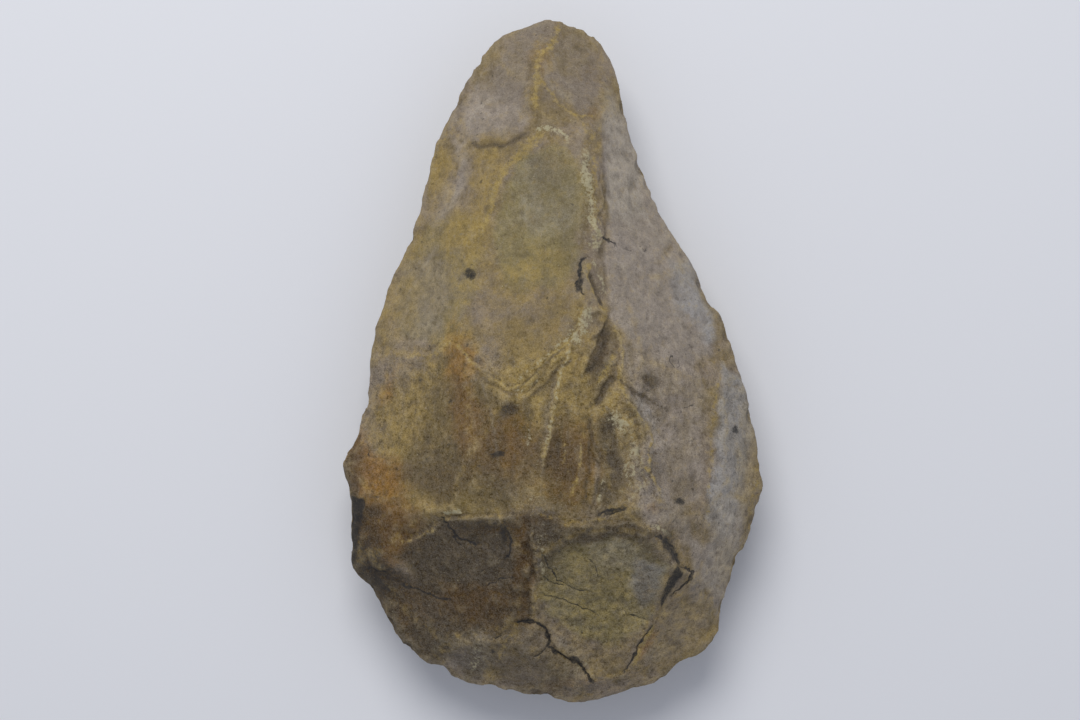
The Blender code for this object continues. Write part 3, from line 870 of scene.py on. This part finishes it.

# dark brown lines, mostly painted shade below the ledges and in the slits and flutes, a few brown streaks:
# strength, half width px, path
shadeAndBrownLines = {
    "under the upper left scar": (0.75, 3, [(470, 142), (482, 148), (500, 146), (518, 139), (532, 130)]),
    "under the tip crust": (0.35, 2.4, [(536, 136), (550, 134), (566, 142)]),
    "beside the crust ridge": (0.5, 3, [(602, 150), (604, 180), (607, 205), (605, 232), (604, 262)]),
    "left of the crust ridge": (0.45, 3.2, [(580, 200), (583, 225), (584, 248)]),
    "lens slit": (1, 2.8, [(589, 272), (594, 286), (600, 298), (605, 306)]),
    "under the lens": (0.8, 2.4, [(609, 318), (606, 328), (598, 337), (590, 342)]),
    "hump slit": (1, 5.6, [(611, 326), (604, 342), (597, 357), (588, 374)]),
    "between the lips": (0.7, 2, [(567, 345), (549, 361), (531, 376), (513, 391)]),
    "under the second lip": (0.7, 2.6, [(574, 357), (555, 373), (541, 387), (524, 400)]),
    "small scar line": (0.75, 1.8, [(622, 383), (634, 390), (647, 397), (660, 405), (673, 413)]),
    "left of the wedge": (0.65, 2.4, [(588, 440), (589, 465), (586, 490), (584, 508)]),
    "left hollow border": (0.45, 2.4, [(476, 372), (482, 400), (489, 440), (493, 470)]),
    "hump slit low": (1, 3.8, [(615, 374), (605, 388), (594, 407)]),
    "right of the rib": (0.45, 3.2, [(588, 344), (576, 366), (566, 398), (562, 430), (556, 462)]),
    "left of the rib": (0.45, 3.2, [(564, 356), (553, 376), (546, 400), (541, 425)]),
    "under the centre lip": (0.6, 2.6, [(470, 368), (495, 387), (512, 394), (530, 388), (552, 364)]),
    "hump left": (0.45, 3, [(508, 392), (520, 400), (526, 415)]),
    "hump streak": (0.6, 1.8, [(570, 404), (567, 430), (570, 455)]),
    "hump streak low": (0.6, 1.8, [(556, 440), (560, 462), (556, 486)]),
    "hump streak left": (0.55, 2, [(524, 408), (531, 424), (530, 446), (526, 470)]),
    "step": (0.7, 3.2, [(594, 416), (590, 430), (594, 446), (604, 462)]),
    "step foot": (0.6, 3, [(600, 470), (598, 488), (592, 504)]),
    "beside the right rib": (0.45, 3, [(622, 345), (628, 378), (640, 405), (652, 436), (655, 470)]),
    "under the knob": (0.65, 3.4, [(604, 404), (612, 420), (616, 440), (622, 452)]),
    "butt top left": (0.45, 3, [(392, 552), (430, 540), (446, 524), (520, 518)]),
    "butt top right": (0.5, 3.2, [(545, 520), (577, 530), (606, 529), (634, 526), (655, 534)]),
    "small scar top": (0.4, 2.6, [(622, 383), (640, 392), (656, 410), (664, 430)]),
    "left hollow top": (0.4, 3, [(400, 366), (432, 361), (452, 350)]),
    "wide scar mark": (0.45, 3, [(641, 366), (652, 376), (660, 388)]),
    "left knob top": (0.4, 2, [(350, 455), (372, 457), (400, 454)]),
    "left knob foot": (0.5, 2.6, [(366, 497), (385, 500), (400, 498)]),
    "right margin": (0.35, 2.6, [(725, 372), (720, 400), (717, 440), (716, 490)]),
}

# lighter worn stone, and on the right margin and the right foot also painted light
paleAreas = {
    "grey foot": (0.3, [(452, 634), (474, 628), (494, 640), (496, 664), (478, 676), (456, 660)]),
    # painted light on the right margin and the right foot, over their paler stone
    "right margin": (0.4, [(712, 372), (744, 384), (756, 430), (752, 490), (738, 540), (716, 570),
        (712, 520), (718, 450)]),
    "right foot": (0.62, [(704, 520), (716, 500), (742, 504), (738, 562), (720, 600), (700, 590)]),
    "centre left": (0.22, [(482, 205), (522, 212), (522, 258), (482, 264)]),
    "beside the crust ridge": (0.85, [(604, 84), (618, 92), (636, 150), (650, 205), (632, 224), (612, 210),
        (606, 150)]),
    "left shoulder": (0.2, [(430, 190), (450, 150), (466, 180), (450, 240), (430, 262), (412, 250)]),
    "foot": (0.36, [(540, 650), (575, 664), (600, 690), (550, 694), (500, 680)]),
}

# pale streaks: strength, half width px, path
paleLines = {
    "beside the crust ridge": (0.6, 6, [(611, 150), (613, 180), (612, 215)]),
    "tip right": (0.55, 3, [(545, 60), (548, 78), (559, 92), (576, 104)]),
    "tip right outer": (0.4, 2.6, [(553, 56), (558, 72), (569, 85), (588, 97)]),
    "tip left": (0.4, 3, [(472, 96), (481, 76), (496, 62), (514, 55)]),
    "tip left inner": (0.35, 2.6, [(486, 100), (494, 82), (508, 72), (524, 68)]),
    "upper left scar": (0.4, 3, [(468, 128), (478, 108), (496, 98), (520, 96)]),
    "left streak": (0.32, 4, [(458, 126), (466, 148), (465, 176), (453, 200), (436, 224)]),
    "left middle": (0.35, 3, [(402, 334), (410, 296), (424, 264), (438, 244)]),
    "right long": (0.45, 3, [(612, 136), (630, 180), (652, 226), (676, 270), (694, 302)]),
    "right long inner": (0.4, 2.6, [(608, 168), (622, 210), (644, 256), (668, 300), (690, 340)]),
    "right long foot": (0.35, 2.6, [(612, 250), (632, 288), (652, 320), (668, 352)]),
    "right wide": (0.3, 2.6, [(700, 392), (690, 430), (692, 470), (700, 506)]),
    "below the small scar": (0.45, 2.4, [(654, 440), (652, 470), (664, 500), (684, 530), (700, 556)]),
    "left rib of the hump": (0.45, 2.6, [(484, 376), (487, 400), (493, 430), (498, 466)]),
    "flute": (0.5, 4, [(556, 372), (548, 410), (544, 440), (541, 486)]),
    "wedge": (0.6, 3.2, [(598, 456), (598, 480), (593, 506)]),
    "left hollow": (0.3, 2.6, [(398, 376), (404, 410), (400, 446)]),
}

darkAreas = {
    # painted shade on the lower left rim
    "lower left rim": (0.88, [(342, 440), (356, 500), (378, 512), (388, 560), (414, 602), (444, 640),
        (440, 668), (404, 654), (372, 616), (342, 570)]),
    # painted shadow below the butt's top edge
    "under the butt's top edge": (0.95, [(392, 554), (446, 518), (520, 513), (578, 526), (634, 521),
        (650, 534), (600, 544), (532, 556), (460, 544), (410, 564)]),
    "left hollow low": (0.16, [(400, 380), (470, 366), (500, 400), (505, 505), (440, 512), (390, 500),
        (380, 430)]),
    "left of the crust ridge": (0.26, [(526, 146), (584, 150), (588, 200), (592, 280), (570, 300),
        (556, 240), (530, 200)]),
    "tip": (0.36, [(500, 44), (528, 18), (570, 20), (604, 52), (622, 90), (600, 122), (540, 120), (486, 96)]),
    "grey foot": (0.55, [(430, 644), (452, 632), (474, 626), (492, 640), (494, 668), (476, 684), (452, 674)]),
    "centre": (0.16, [(500, 310), (590, 200), (590, 310), (540, 380), (505, 372)]),
    "butt left": (0.9, [(404, 560), (430, 538), (448, 520), (520, 516), (533, 524), (526, 545), (535, 565),
        (528, 590), (534, 606), (527, 622), (500, 632), (460, 606), (420, 594)]),
    "butt low left": (0.85, [(366, 566), (404, 582), (456, 604), (490, 632), (470, 632), (448, 640),
        (440, 652), (410, 636), (388, 600)]),
    "foot left": (0.52, [(500, 636), (520, 626), (545, 634), (560, 655), (585, 680), (560, 696),
        (510, 690), (490, 672)]),
    "butt right edge": (0.5, [(620, 520), (660, 530), (676, 560), (660, 566), (640, 545), (615, 535)]),
    # painted shadow below the upper left scar's edge
    "under the upper left scar": (0.55, [(476, 140), (500, 142), (522, 134), (530, 138), (506, 150),
        (480, 152)]),
    "right foot edge": (0.55, [(702, 592), (716, 600), (716, 622), (708, 626), (704, 608)]),
    "left hollow": (0.4, [(396, 470), (440, 372), (500, 385), (500, 470), (440, 500)]),
}

crustLines = {
    "tip foot": (0.95, 3.4, [(536, 128), (546, 126), (556, 128), (566, 134), (570, 138)]),
    "crust ridge upper": (0.95, 5.5, [(586, 152), (584, 170), (586, 192)]),
    "crust ridge": (0.76, 7, [(588, 196), (590, 214), (595, 234), (598, 252)]),
    "crust by the crack": (0.6, 3, [(590, 258), (596, 268), (602, 282), (606, 296)]),
    "lens ridge": (0.78, 8, [(588, 306), (590, 318), (584, 332), (572, 342)]),
    "hump rib": (0.58, 2.6, [(572, 346), (562, 368), (556, 398), (550, 424), (545, 452)]),
    "centre lip": (0.58, 3.4, [(588, 312), (567, 337), (550, 353), (533, 367), (513, 383)]),
    "cream knob": (0.72, 11, [(611, 408), (620, 422), (628, 434)]),
    "below the step": (0.5, 9, [(634, 446), (632, 466), (630, 488)]),
    "below the knob": (0.6, 4, [(634, 440), (640, 456), (640, 474)]),
    "wedge": (0.6, 2.6, [(596, 508), (602, 490), (607, 476)]),
    "butt top left": (0.9, 3.4, [(440, 514), (450, 510), (462, 511)]),
    "butt top middle": (0.65, 2, [(528, 498), (540, 497), (548, 500)]),
    "butt top right": (0.8, 3, [(652, 524), (662, 530), (672, 538)]),
    "step foot": (0.55, 3, [(628, 500), (640, 490), (652, 478)]),
    "hump bead": (0.85, 1.6, [(531, 428), (530, 446)]),
    "grey foot crystals": (0.58, 8, [(476, 642), (482, 655), (472, 670)]),
    "beside the butt step": (0.5, 5, [(540, 528), (543, 556), (541, 590)]),
    "butt foot specks": (0.5, 2.4, [(540, 700), (552, 690), (592, 660)]),
    "centre foot": (0.45, 3, [(514, 392), (526, 388), (540, 378)]),
}


fieldEdges = {
    "areas": 7.0,                  # pixels over which a filled area fades
    "broadAreas": 9.0,
    "crispAreas": 3.0,
    "blackAreas": 2.8,
    "spots": 0.55,                 # share of a spot's radius that is full
    "darkSpots": 0.2,
    "warmSpots": 0.1,
    "blackSpots": 0.35,
    "spotEnd": 1.35,               # where a spot has faded, in its radii
    "lineEnds": 0.35,              # strength left at the ends of a line
    "crackLeast": 0.62,            # darkness of the shallowest crack
    "crackSpread": 0.25,           # pixels
    "crackEnds": 0.55,
}


def areaField(px, py, areas, soft=fieldEdges["areas"]):
    rest = np.ones(len(px))
    for strength, corners in areas.values():
        rest *= 1 - strength * smooth(-soft, soft, insideArea(px, py, corners))
    return 1 - rest


def spotField(px, py, spots, hard=fieldEdges["spots"]):
    rest = np.ones(len(px))
    for x, y, wide, tall, turn, strength in spots.values():
        cosine, sine = math.cos(math.radians(turn)), math.sin(math.radians(turn))
        across = ((px - x) * cosine + (py - y) * sine) / wide
        along = ((py - y) * cosine - (px - x) * sine) / tall
        rest *= 1 - strength * (1 - smooth(hard, fieldEdges["spotEnd"], np.hypot(across, along)))
    return 1 - rest


def lineField(px, py, lines):
    ends = fieldEdges["lineEnds"]
    rest = np.ones(len(px))
    for strength, width, path in lines.values():
        apart, _, taper = alongLine(px, py, path)
        rest *= 1 - strength * np.exp(-(apart / width) ** 2) * (ends + (1 - ends) * taper)
    return 1 - rest


def joinFields(*parts):
    rest = 1.0
    for part in parts:
        rest = rest * (1 - part)
    return 1 - rest


# the underside's colours by chance: strength, where it starts and is full, which noise, its sign
underside = {
    "lilacGrey": (0.75, -0.1, 0.5, 0, 1),
    "yellowOchre": (0.7, 0, 0.7, 1, 1),
    "orangeOchre": (0.42, 0.2, 0.8, 2, 1),
    "darkBrown": (0.55, 0.1, 0.7, 1, -1),
    "blueGrey": (0.5, 0.2, 0.7, 0, -1),
    "oliveGrey": (0.5, 0.1, 0.7, 2, -1),
}
undersidePatches = {"size": 22.0, "layers": 4, "seed": 91, "coarse": 0.5}
upperTilt = (-0.10, 0.20)          # where the upper side's paint gives way to the underside's

# the lower part of the stone is coarser, apart from its right side; rows and columns of the photo
coarseStone = {"least": 0.15, "rows": (300, 400), "columns": (640, 690), "lessOnTheRight": 0.5}

fields = {}


def coarseField(px, py):
    least = coarseStone["least"]
    lower = least + (1 - least) * smooth(*coarseStone["rows"], py)
    return lower * (1 - coarseStone["lessOnTheRight"] * smooth(*coarseStone["columns"], px))


def paintFields(points, normals, fine):
    # how much of each colour lies where; the upper side by the photo, the underside by chance
    edges = fieldEdges
    px, py = photoPixels(points)
    wide = shakePixels(points, px, py, "areas")
    jagged = shakePixels(points, *fine, "jagged")
    upper = smooth(*upperTilt, normals[:, 2])
    size, layers = undersidePatches["size"] * mm, undersidePatches["layers"]
    chance = [noiseOver(points, size, layers, undersidePatches["seed"] + step) for step in range(3)]
    below = {"coarse": undersidePatches["coarse"]}
    for name, (strength, low, high, step, sign) in underside.items():
        below[name] = strength * smooth(low, high, sign * chance[step])
    above = {
        "lilacGrey": areaField(*wide, lilacAreas),
        "yellowOchre": spotField(*wide, ochreAreas),
        "ochreLine": lineField(*fine, ochreLines),
        "orangeOchre": spotField(*wide, orangeAreas, edges["warmSpots"]),
        "rustBrown": spotField(*wide, rustSpots, edges["warmSpots"]),
        # dark brown patina, with painted shade below the ledges, in the step's hollow and on the lower left
        # rim
        "darkBrown": joinFields(
            areaField(*wide, darkAreas, edges["broadAreas"]),
            areaField(*fine, crispDark, edges["crispAreas"]),
            spotField(*wide, darkSpots, edges["darkSpots"])),
        "paleStoneAndLight": joinFields(
            areaField(*wide, paleAreas, edges["broadAreas"]), lineField(*fine, paleLines)),
        "shadeAndBrownLine": lineField(*fine, shadeAndBrownLines),
        "blueGrey": areaField(*wide, blueAreas),
        "oliveGrey": areaField(*wide, oliveAreas),
        "creamCrust": lineField(*fine, crustLines),
        # black stains, and painted shade from some of the black spots
        "blackStainAndShade": joinFields(
            areaField(*fine, blackAreas, edges["blackAreas"]),
            spotField(*fine, blackSpots, edges["blackSpots"])),
        "coarse": coarseField(px, py),
        "crackLine": crackField(*jagged),
    }
    for name, strength in above.items():
        fields[name] = strength * upper + below.get(name, 0.0) * (1 - upper)


def crackField(px, py):
    strongest = np.zeros(len(px))
    ends = fieldEdges["crackEnds"]
    for depth, width, path in cracks.values():
        apart, _, taper = alongLine(px, py, path)
        dark = min(1.0, fieldEdges["crackLeast"] + depth)
        line = np.exp(-(apart / (width + fieldEdges["crackSpread"])) ** 2)
        strongest = np.maximum(strongest, dark * line * (ends + (1 - ends) * taper))
    return strongest


reliefWearAndShade = {
    "blurRounds": 7,
    "standsOut": (0.03, 0.20),     # mm over the blurred surface
    "hollow": (0.02, 0.14),
}


def shapeFields(mesh, arris):
    # worn where the surface stands out; grime and painted shade where it is hollow
    points = pointsOf(mesh)
    edges = edgesOf(mesh)
    blurred = points
    for _ in range(reliefWearAndShade["blurRounds"]):
        blurred = neighbourMean(blurred, edges)
    out = np.einsum("ij,ij->i", points - blurred, normalsOf(mesh)) / mm
    fields["standsOut"] = smooth(*reliefWearAndShade["standsOut"], out)
    fields["hollow"] = smooth(*reliefWearAndShade["hollow"], -out)
    fields["arris"] = np.exp(-(arris / (stoneRelief["arrisReach"] * mm)) ** 2)


def thinUnderside(stone):
    # the underside is plainer, so it can do with fewer faces
    mesh = stone.data
    count = sum(len(face.vertices) - 2 for face in mesh.polygons)
    low = np.flatnonzero(normalsOf(mesh)[:, 2] < stoneMesh["underTilt"])
    stone.vertex_groups.new(name="underside").add(low.tolist(), 1.0, "REPLACE")
    fewer = stone.modifiers.new("fewer faces below", "DECIMATE")
    fewer.ratio = min(1.0, stoneMesh["mostTriangles"] / count)
    fewer.vertex_group = "underside"
    fewer.vertex_group_factor = stoneMesh["underFirst"]
    graph = bpy.context.evaluated_depsgraph_get()
    thinned = bpy.data.meshes.new_from_object(
        stone.evaluated_get(graph), preserve_all_data_layers=True, depsgraph=graph)
    stone.modifiers.clear()
    stone.data = thinned
    stone.vertex_groups.clear()
    thinned.name = "flaked_stone"


def storeFields(mesh):
    for name, values in fields.items():
        made = mesh.attributes.new(name, "FLOAT", "POINT")
        made.data.foreach_set("value", np.clip(values, 0, 1).astype(np.float32))


# the stone's colours and finish
stonePaint = {
    "brownStone": (0.236, 0.176, 0.086),
    "purpleStone": (0.250, 0.200, 0.148),
    "lilacGrey": (0.322, 0.277, 0.235),
    "yellowOchre": (0.300, 0.212, 0.066),
    "ochreLine": (0.345, 0.252, 0.082),
    "orangeOchre": (0.238, 0.118, 0.026),
    "oliveGrey": (0.236, 0.200, 0.082),
    "blueGrey": (0.312, 0.308, 0.308),
    "paleStoneAndLight": (0.400, 0.350, 0.283),
    "darkBrown": (0.084, 0.064, 0.041),
    "rustBrown": (0.092, 0.052, 0.018),
    "creamCrust": (0.430, 0.385, 0.245),
    "blackStainAndShade": (0.019, 0.019, 0.020),
    "rubbed": (0.400, 0.335, 0.215),
    "roughness": 0.80,
    "specular": 0.32,
    "roughFrom": (-0.08, 0.06),    # what the patches take from the roughness or add to it
    "grain": 0.6,                  # strength of the fine bump
    "grainDepth": 0.00022,
    "fleckBump": 0.6,
    "clouds": (0.38, 0.62),        # where brown stone turns into purple
}

# noises of the stone: how many to the metre, detail, roughness
stoneNoises = {
    "clouds": (90, 6.0, 0.65),     # patches of about 11 mm, and finer ones in them
    "patches": (280, 6.0, 0.70),
    "rock": (620, 6.0, 0.75),
    "flecks": (1300, 4.0, 0.75),
    "grain": (3400, 3.0, 0.75),
    "specks": (820, 2.0, 0.50),
    "glints": (2100, 1.0, 0.50),
    "fibres": (1500, 4.0, 0.70),
}
fibresDrawn = {"Rotation": (0, 0, 0.2), "Scale": (1, 0.5, 1)}

# colours laid over each other: the noise that breaks the edge, how ragged it is, how strong the colour
paintLayers = {
    "oliveGrey": ("patches", 0.8, 0.7),
    "lilacGrey": ("patches", 0.8, 0.8),
    "blueGrey": ("patches", 0.9, 0.75),
    "yellowOchre": ("patches", 1.2, 0.85),
    "orangeOchre": ("patches", 1, 0.85),
    "paleStoneAndLight": ("patches", 0.7, 0.7),
    "darkBrown": ("patches", 0.8, 0.95),
    "rustBrown": ("rock", 0.9, 0.8),
}

# drawn marks: how ragged, where the mark starts and where it is full
markEdges = {
    "ochreLine": (2.2, 0.25, 0.95),
    "shadeAndBrownLine": (1.3, 0.22, 0.85),
    "creamCrust": (4.6, 0.5, 0.92),
    "blackStainAndShade": (3.6, 0.28, 0.88),
    "crackLine": (2, 0.34, 0.74),
}
# how strongly each is laid on
markShares = {
    "ochreLine": 0.85,
    "ochreOnArrises": 0.40,
    "rubbed": 0.20,
    "hollowGrimeAndShade": 0.35,
    "shadeAndBrownLine": 0.80,
    "specks": 0.55,
    "glints": 0.60,
    "creamCrust": 0.85,
}

# ranges of the noises, and for some the values that they become
noiseRanges = {
    "arrisPatches": (0.42, 0.6),
    "ochreGrains": (0.5, 0.66, 0, 0.22),
    "greyGrains": (0.52, 0.68, 0, 0.24),
    "darkGrains": (0.76, 0.6),
    "specks": (0.69, 0.76),
    "glints": (0.72, 0.8),
    "softWhite": (0.35, 0.65, 0.482, 0.518),
    "blackFlecks": (0.62, 0.42, 0.7, 0.97),
    "rough": (0.3, 0.7),
}
grainFields = {
    "lessOnDark": (-0.70, 1.0),    # slope and start of the light grains over the dark brown
    "rockInDark": 0.6,
    "darkWhereCoarse": (0.42, 0.16),
    "toneWhereCoarse": (0.45, 0.55),
}
toneRanges = {
    "grain": (0.28, 0.72, 0.78, 1.22),
    "patches": (0.3, 0.7, 0.74, 1.26),
    "rock": (0.32, 0.68, 0.84, 1.16),
}


def addNode(tree, kind, inputs=None, **settings):
    node = tree.nodes.new(kind)
    for name, value in settings.items():
        setattr(node, name, value)
    for name, value in (inputs or {}).items():
        if isinstance(value, bpy.types.NodeSocket):
            tree.links.new(value, node.inputs[name])
        else:
            node.inputs[name].default_value = value
    return node


def noiseValue(tree, place, perMetre, detail, roughness):
    inputs = {"Vector": place, "Scale": perMetre, "Detail": detail, "Roughness": roughness}
    return addNode(tree, "ShaderNodeTexNoise", inputs).outputs[0]


def rampValue(tree, value, low, high, start=0.0, end=1.0):
    inputs = {"Value": value, "From Min": low, "From Max": high, "To Min": start, "To Max": end}
    return addNode(tree, "ShaderNodeMapRange", inputs, interpolation_type="SMOOTHSTEP").outputs[0]


def mathValue(tree, operation, first, second=0.0, third=0.0):
    node = addNode(tree, "ShaderNodeMath", {0: first, 1: second, 2: third}, operation=operation)
    return node.outputs[0]


def fieldValue(tree, name):
    return addNode(tree, "ShaderNodeAttribute", attribute_name=name).outputs["Fac"]


def mixColour(tree, share, under, over, blend="MIX"):
    if not isinstance(under, bpy.types.NodeSocket):
        under = (*under, 1.0)
    if not isinstance(over, bpy.types.NodeSocket):
        over = (*over, 1.0)
    node = addNode(tree, "ShaderNodeMix", {0: share, 6: under, 7: over}, data_type="RGBA", blend_type=blend)
    return node.outputs[2]


def brokenShare(tree, name, noise, ragged, low=0.10, high=0.90):
    # a field with its edge broken up by noise
    shaken = mathValue(tree, "MULTIPLY_ADD", noise, ragged, -0.5 * ragged)
    return rampValue(tree, mathValue(tree, "ADD", fieldValue(tree, name), shaken), low, high)


def halfOfEach(tree, first, second):
    halves = [mathValue(tree, "MULTIPLY", value, 0.5) for value in (first, second)]
    return mathValue(tree, "ADD", *halves)


def greyColour(tree, value):
    return addNode(tree, "ShaderNodeCombineColor", {0: value, 1: value, 2: value}).outputs[0]


def makeStoneMaterial():
    material = bpy.data.materials.new("worn stone")
    material.use_nodes = True
    tree = material.node_tree
    shader = tree.nodes["Principled BSDF"]
    place = addNode(tree, "ShaderNodeTexCoord").outputs["Object"]
    noises = {}
    for name, values in stoneNoises.items():
        spot = place
        if name == "fibres":
            spot = addNode(tree, "ShaderNodeMapping", {"Vector": place, **fibresDrawn}).outputs[0]
        noises[name] = noiseValue(tree, spot, *values)
    patches, rock, flecks, grain = (noises[name] for name in ("patches", "rock", "flecks", "grain"))
    paint = stonePaint

    def lay(share, under, over, strength=None):
        if strength is not None:
            share = mathValue(tree, "MULTIPLY", share, strength)
        return mixColour(tree, share, under, paint[over])

    def ranged(name, value):
        return rampValue(tree, value, *noiseRanges[name])

    def mark(name, noise):
        return brokenShare(tree, name, noise, *markEdges[name])

    clouds = rampValue(tree, noises["clouds"], *paint["clouds"])
    colour = mixColour(tree, clouds, paint["brownStone"], paint["purpleStone"])
    for name, (noise, ragged, strength) in paintLayers.items():
        colour = lay(brokenShare(tree, name, noises[noise], ragged), colour, name, strength)

    # ochre lies along the lines and the worn arrises; grime and painted shade darken the hollows
    colour = lay(mark("ochreLine", rock), colour, "ochreLine", markShares["ochreLine"])
    worn = mathValue(tree, "MULTIPLY", fieldValue(tree, "arris"), ranged("arrisPatches", patches))
    colour = lay(worn, colour, "yellowOchre", markShares["ochreOnArrises"])
    colour = lay(fieldValue(tree, "standsOut"), colour, "rubbed", markShares["rubbed"])
    colour = lay(fieldValue(tree, "hollow"), colour, "darkBrown", markShares["hollowGrimeAndShade"])
    # painted shade along the ledges, slits and flutes, with some brown streaks
    colour = lay(mark("shadeAndBrownLine", rock), colour, "darkBrown", markShares["shadeAndBrownLine"])

    # small ochre, grey and dark grains all over
    light = mathValue(tree, "MULTIPLY_ADD", fieldValue(tree, "darkBrown"), *grainFields["lessOnDark"])
    colour = lay(mathValue(tree, "MULTIPLY", ranged("ochreGrains", rock), light), colour, "yellowOchre")
    grey = mathValue(tree, "MULTIPLY", ranged("greyGrains", noises["fibres"]), light)
    colour = lay(grey, colour, "lilacGrey")
    rocky = mathValue(tree, "MULTIPLY", rock, grainFields["rockInDark"])
    dark = ranged("darkGrains", mathValue(tree, "ADD", flecks, rocky))
    coarse = fieldValue(tree, "coarse")
    more = mathValue(tree, "MULTIPLY_ADD", coarse, *grainFields["darkWhereCoarse"])
    colour = lay(mathValue(tree, "MULTIPLY", dark, more), colour, "darkBrown")

    # lighter and darker tones, stronger where the stone is coarse
    tones = [rampValue(tree, noises[name], *values) for name, values in toneRanges.items()]
    tone = mathValue(tree, "MULTIPLY", mathValue(tree, "MULTIPLY", tones[0], tones[1]), tones[2])
    rougher = mathValue(tree, "MULTIPLY_ADD", coarse, *grainFields["toneWhereCoarse"])
    colour = mixColour(tree, rougher, colour, greyColour(tree, tone), "MULTIPLY")
    soft = ranged("softWhite", halfOfEach(tree, flecks, grain))
    colour = mixColour(tree, rougher, colour, greyColour(tree, soft), "LINEAR_LIGHT")

    colour = lay(ranged("specks", noises["specks"]), colour, "blackStainAndShade", markShares["specks"])
    colour = lay(ranged("glints", noises["glints"]), colour, "creamCrust", markShares["glints"])
    crumbs = halfOfEach(tree, rock, flecks)
    colour = lay(mark("creamCrust", crumbs), colour, "creamCrust", markShares["creamCrust"])
    black = mathValue(tree, "MAXIMUM", mark("blackStainAndShade", crumbs), mark("crackLine", crumbs))
    colour = lay(mathValue(tree, "MULTIPLY", black, ranged("blackFlecks", flecks)), colour, "blackStainAndShade")
    tree.links.new(colour, shader.inputs["Base Color"])

    smoother, duller = (paint["roughness"] + change for change in paint["roughFrom"])
    rough = rampValue(tree, patches, *noiseRanges["rough"], smoother, duller)
    tree.links.new(rough, shader.inputs["Roughness"])
    shader.inputs["Specular IOR Level"].default_value = paint["specular"]

    fine = mathValue(tree, "MULTIPLY_ADD", flecks, paint["fleckBump"], grain)
    bumps = mathValue(tree, "ADD", rock, fine)
    bump = addNode(tree, "ShaderNodeBump", {
        "Strength": paint["grain"], "Distance": paint["grainDepth"], "Height": bumps})
    tree.links.new(bump.outputs[0], shader.inputs["Normal"])
    return material


def makeStone():
    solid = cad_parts["hand_axe"]
    stone = evenMesh(solid)
    mesh = stone.data
    print("even mesh:", len(mesh.polygons), "faces")
    thinLines = [path for _, _, path in cracks.values()]
    forms = [path for _, _, _, path in ledges.values()] + [path for _, _, path in ribs.values()]
    refineNearLines(mesh, forms, stoneMesh["formBands"])
    refineNearLines(mesh, thinLines, stoneMesh["crackBands"])
    print("finer beside the cracks:", len(mesh.polygons), "faces")
    arris, _ = nearestTo(pointsAlong(solid, isArris), pointsOf(mesh))
    rimLine = pointsAlong(solid, isRim)
    rim, _ = nearestTo(rimLine, pointsOf(mesh))
    softenFacets(mesh, arris, rim)
    restoreRim(mesh, rimLine)
    chipRim(mesh)
    print("rim restored and chipped")
    fine = shakePixels(pointsOf(mesh), *photoPixels(pointsOf(mesh)), "broad", "fine")
    paintFields(pointsOf(mesh), normalsOf(mesh), fine)
    wanderPoints(mesh)
    carveRelief(mesh, arris, *fine)
    shapeFields(mesh, arris)
    storeFields(mesh)
    print("painted and carved:", len(fields), "fields")
    thinUnderside(stone)
    mesh = stone.data
    mesh.shade_smooth()
    mesh.materials.append(makeStoneMaterial())
    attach(stone, "root")
    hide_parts("hand_axe")
    print("stone ready:", sum(len(face.vertices) - 2 for face in mesh.polygons), "triangles")


# floor and light
studio = {
    "floorSize": 3.0,
    "floorColour": (0.80, 0.81, 0.845),
    "floorRoughness": 0.9,
    "floorSpecular": 0.1,
    "skyColour": (0.90, 0.94, 1.05),
    "skyStrength": 0.43,
    "keyPlace": (-0.12, 0.58, 0.78),
    "keySize": 0.62,
    "keyPower": 5.6,
    "keyColour": (1.0, 0.985, 0.955),
}


def makeFloor():
    half = studio["floorSize"] / 2
    mesh = bpy.data.meshes.new("floor")
    corners = [(-half, -half, 0), (half, -half, 0), (half, half, 0), (-half, half, 0)]
    mesh.from_pydata(corners, [], [(0, 1, 2, 3)])
    floor = bpy.data.objects.new("floor", mesh)
    bpy.context.scene.collection.objects.link(floor)
    material = bpy.data.materials.new("pale floor")
    material.use_nodes = True
    shader = material.node_tree.nodes["Principled BSDF"]
    shader.inputs["Base Color"].default_value = (*studio["floorColour"], 1.0)
    shader.inputs["Roughness"].default_value = studio["floorRoughness"]
    shader.inputs["Specular IOR Level"].default_value = studio["floorSpecular"]
    mesh.materials.append(material)


def makeLight():
    world = bpy.data.worlds.new("soft sky")
    bpy.context.scene.world = world
    world.use_nodes = True
    sky = world.node_tree.nodes["Background"]
    sky.inputs["Color"].default_value = (*studio["skyColour"], 1.0)
    sky.inputs["Strength"].default_value = studio["skyStrength"]
    lamp = bpy.data.lights.new("key", "AREA")
    lamp.shape = "DISK"
    lamp.size = studio["keySize"]
    lamp.energy = studio["keyPower"]
    lamp.color = studio["keyColour"]
    key = bpy.data.objects.new("key", lamp)
    key.location = studio["keyPlace"]
    key.rotation_euler = (-Vector(studio["keyPlace"])).to_track_quat("-Z", "Y").to_euler()
    bpy.context.scene.collection.objects.link(key)


def makeCamera():
    lens = bpy.data.cameras.new("camera")
    frameWide = photoView["width"] / photoView["pixelsPerMm"] * mm
    lens.sensor_width = photoView["sensor"]
    lens.lens = photoView["sensor"] * photoView["cameraAbove"] / frameWide
    camera = bpy.data.objects.new("camera", lens)
    camera.location = (
        photoView["cameraAcross"],
        photoView["cameraAlong"],
        photoView["rimHeight"] + photoView["cameraAbove"],
    )
    bpy.context.scene.collection.objects.link(camera)
    bpy.context.scene.camera = camera


def clearStart():
    for name in ("Cube", "Light", "Camera"):
        if name in bpy.data.objects:
            bpy.data.objects.remove(bpy.data.objects[name])


clearStart()
makeStone()
makeFloor()
makeLight()
makeCamera()
bpy.context.scene.view_settings.view_transform = "Standard"
print("scene ready")
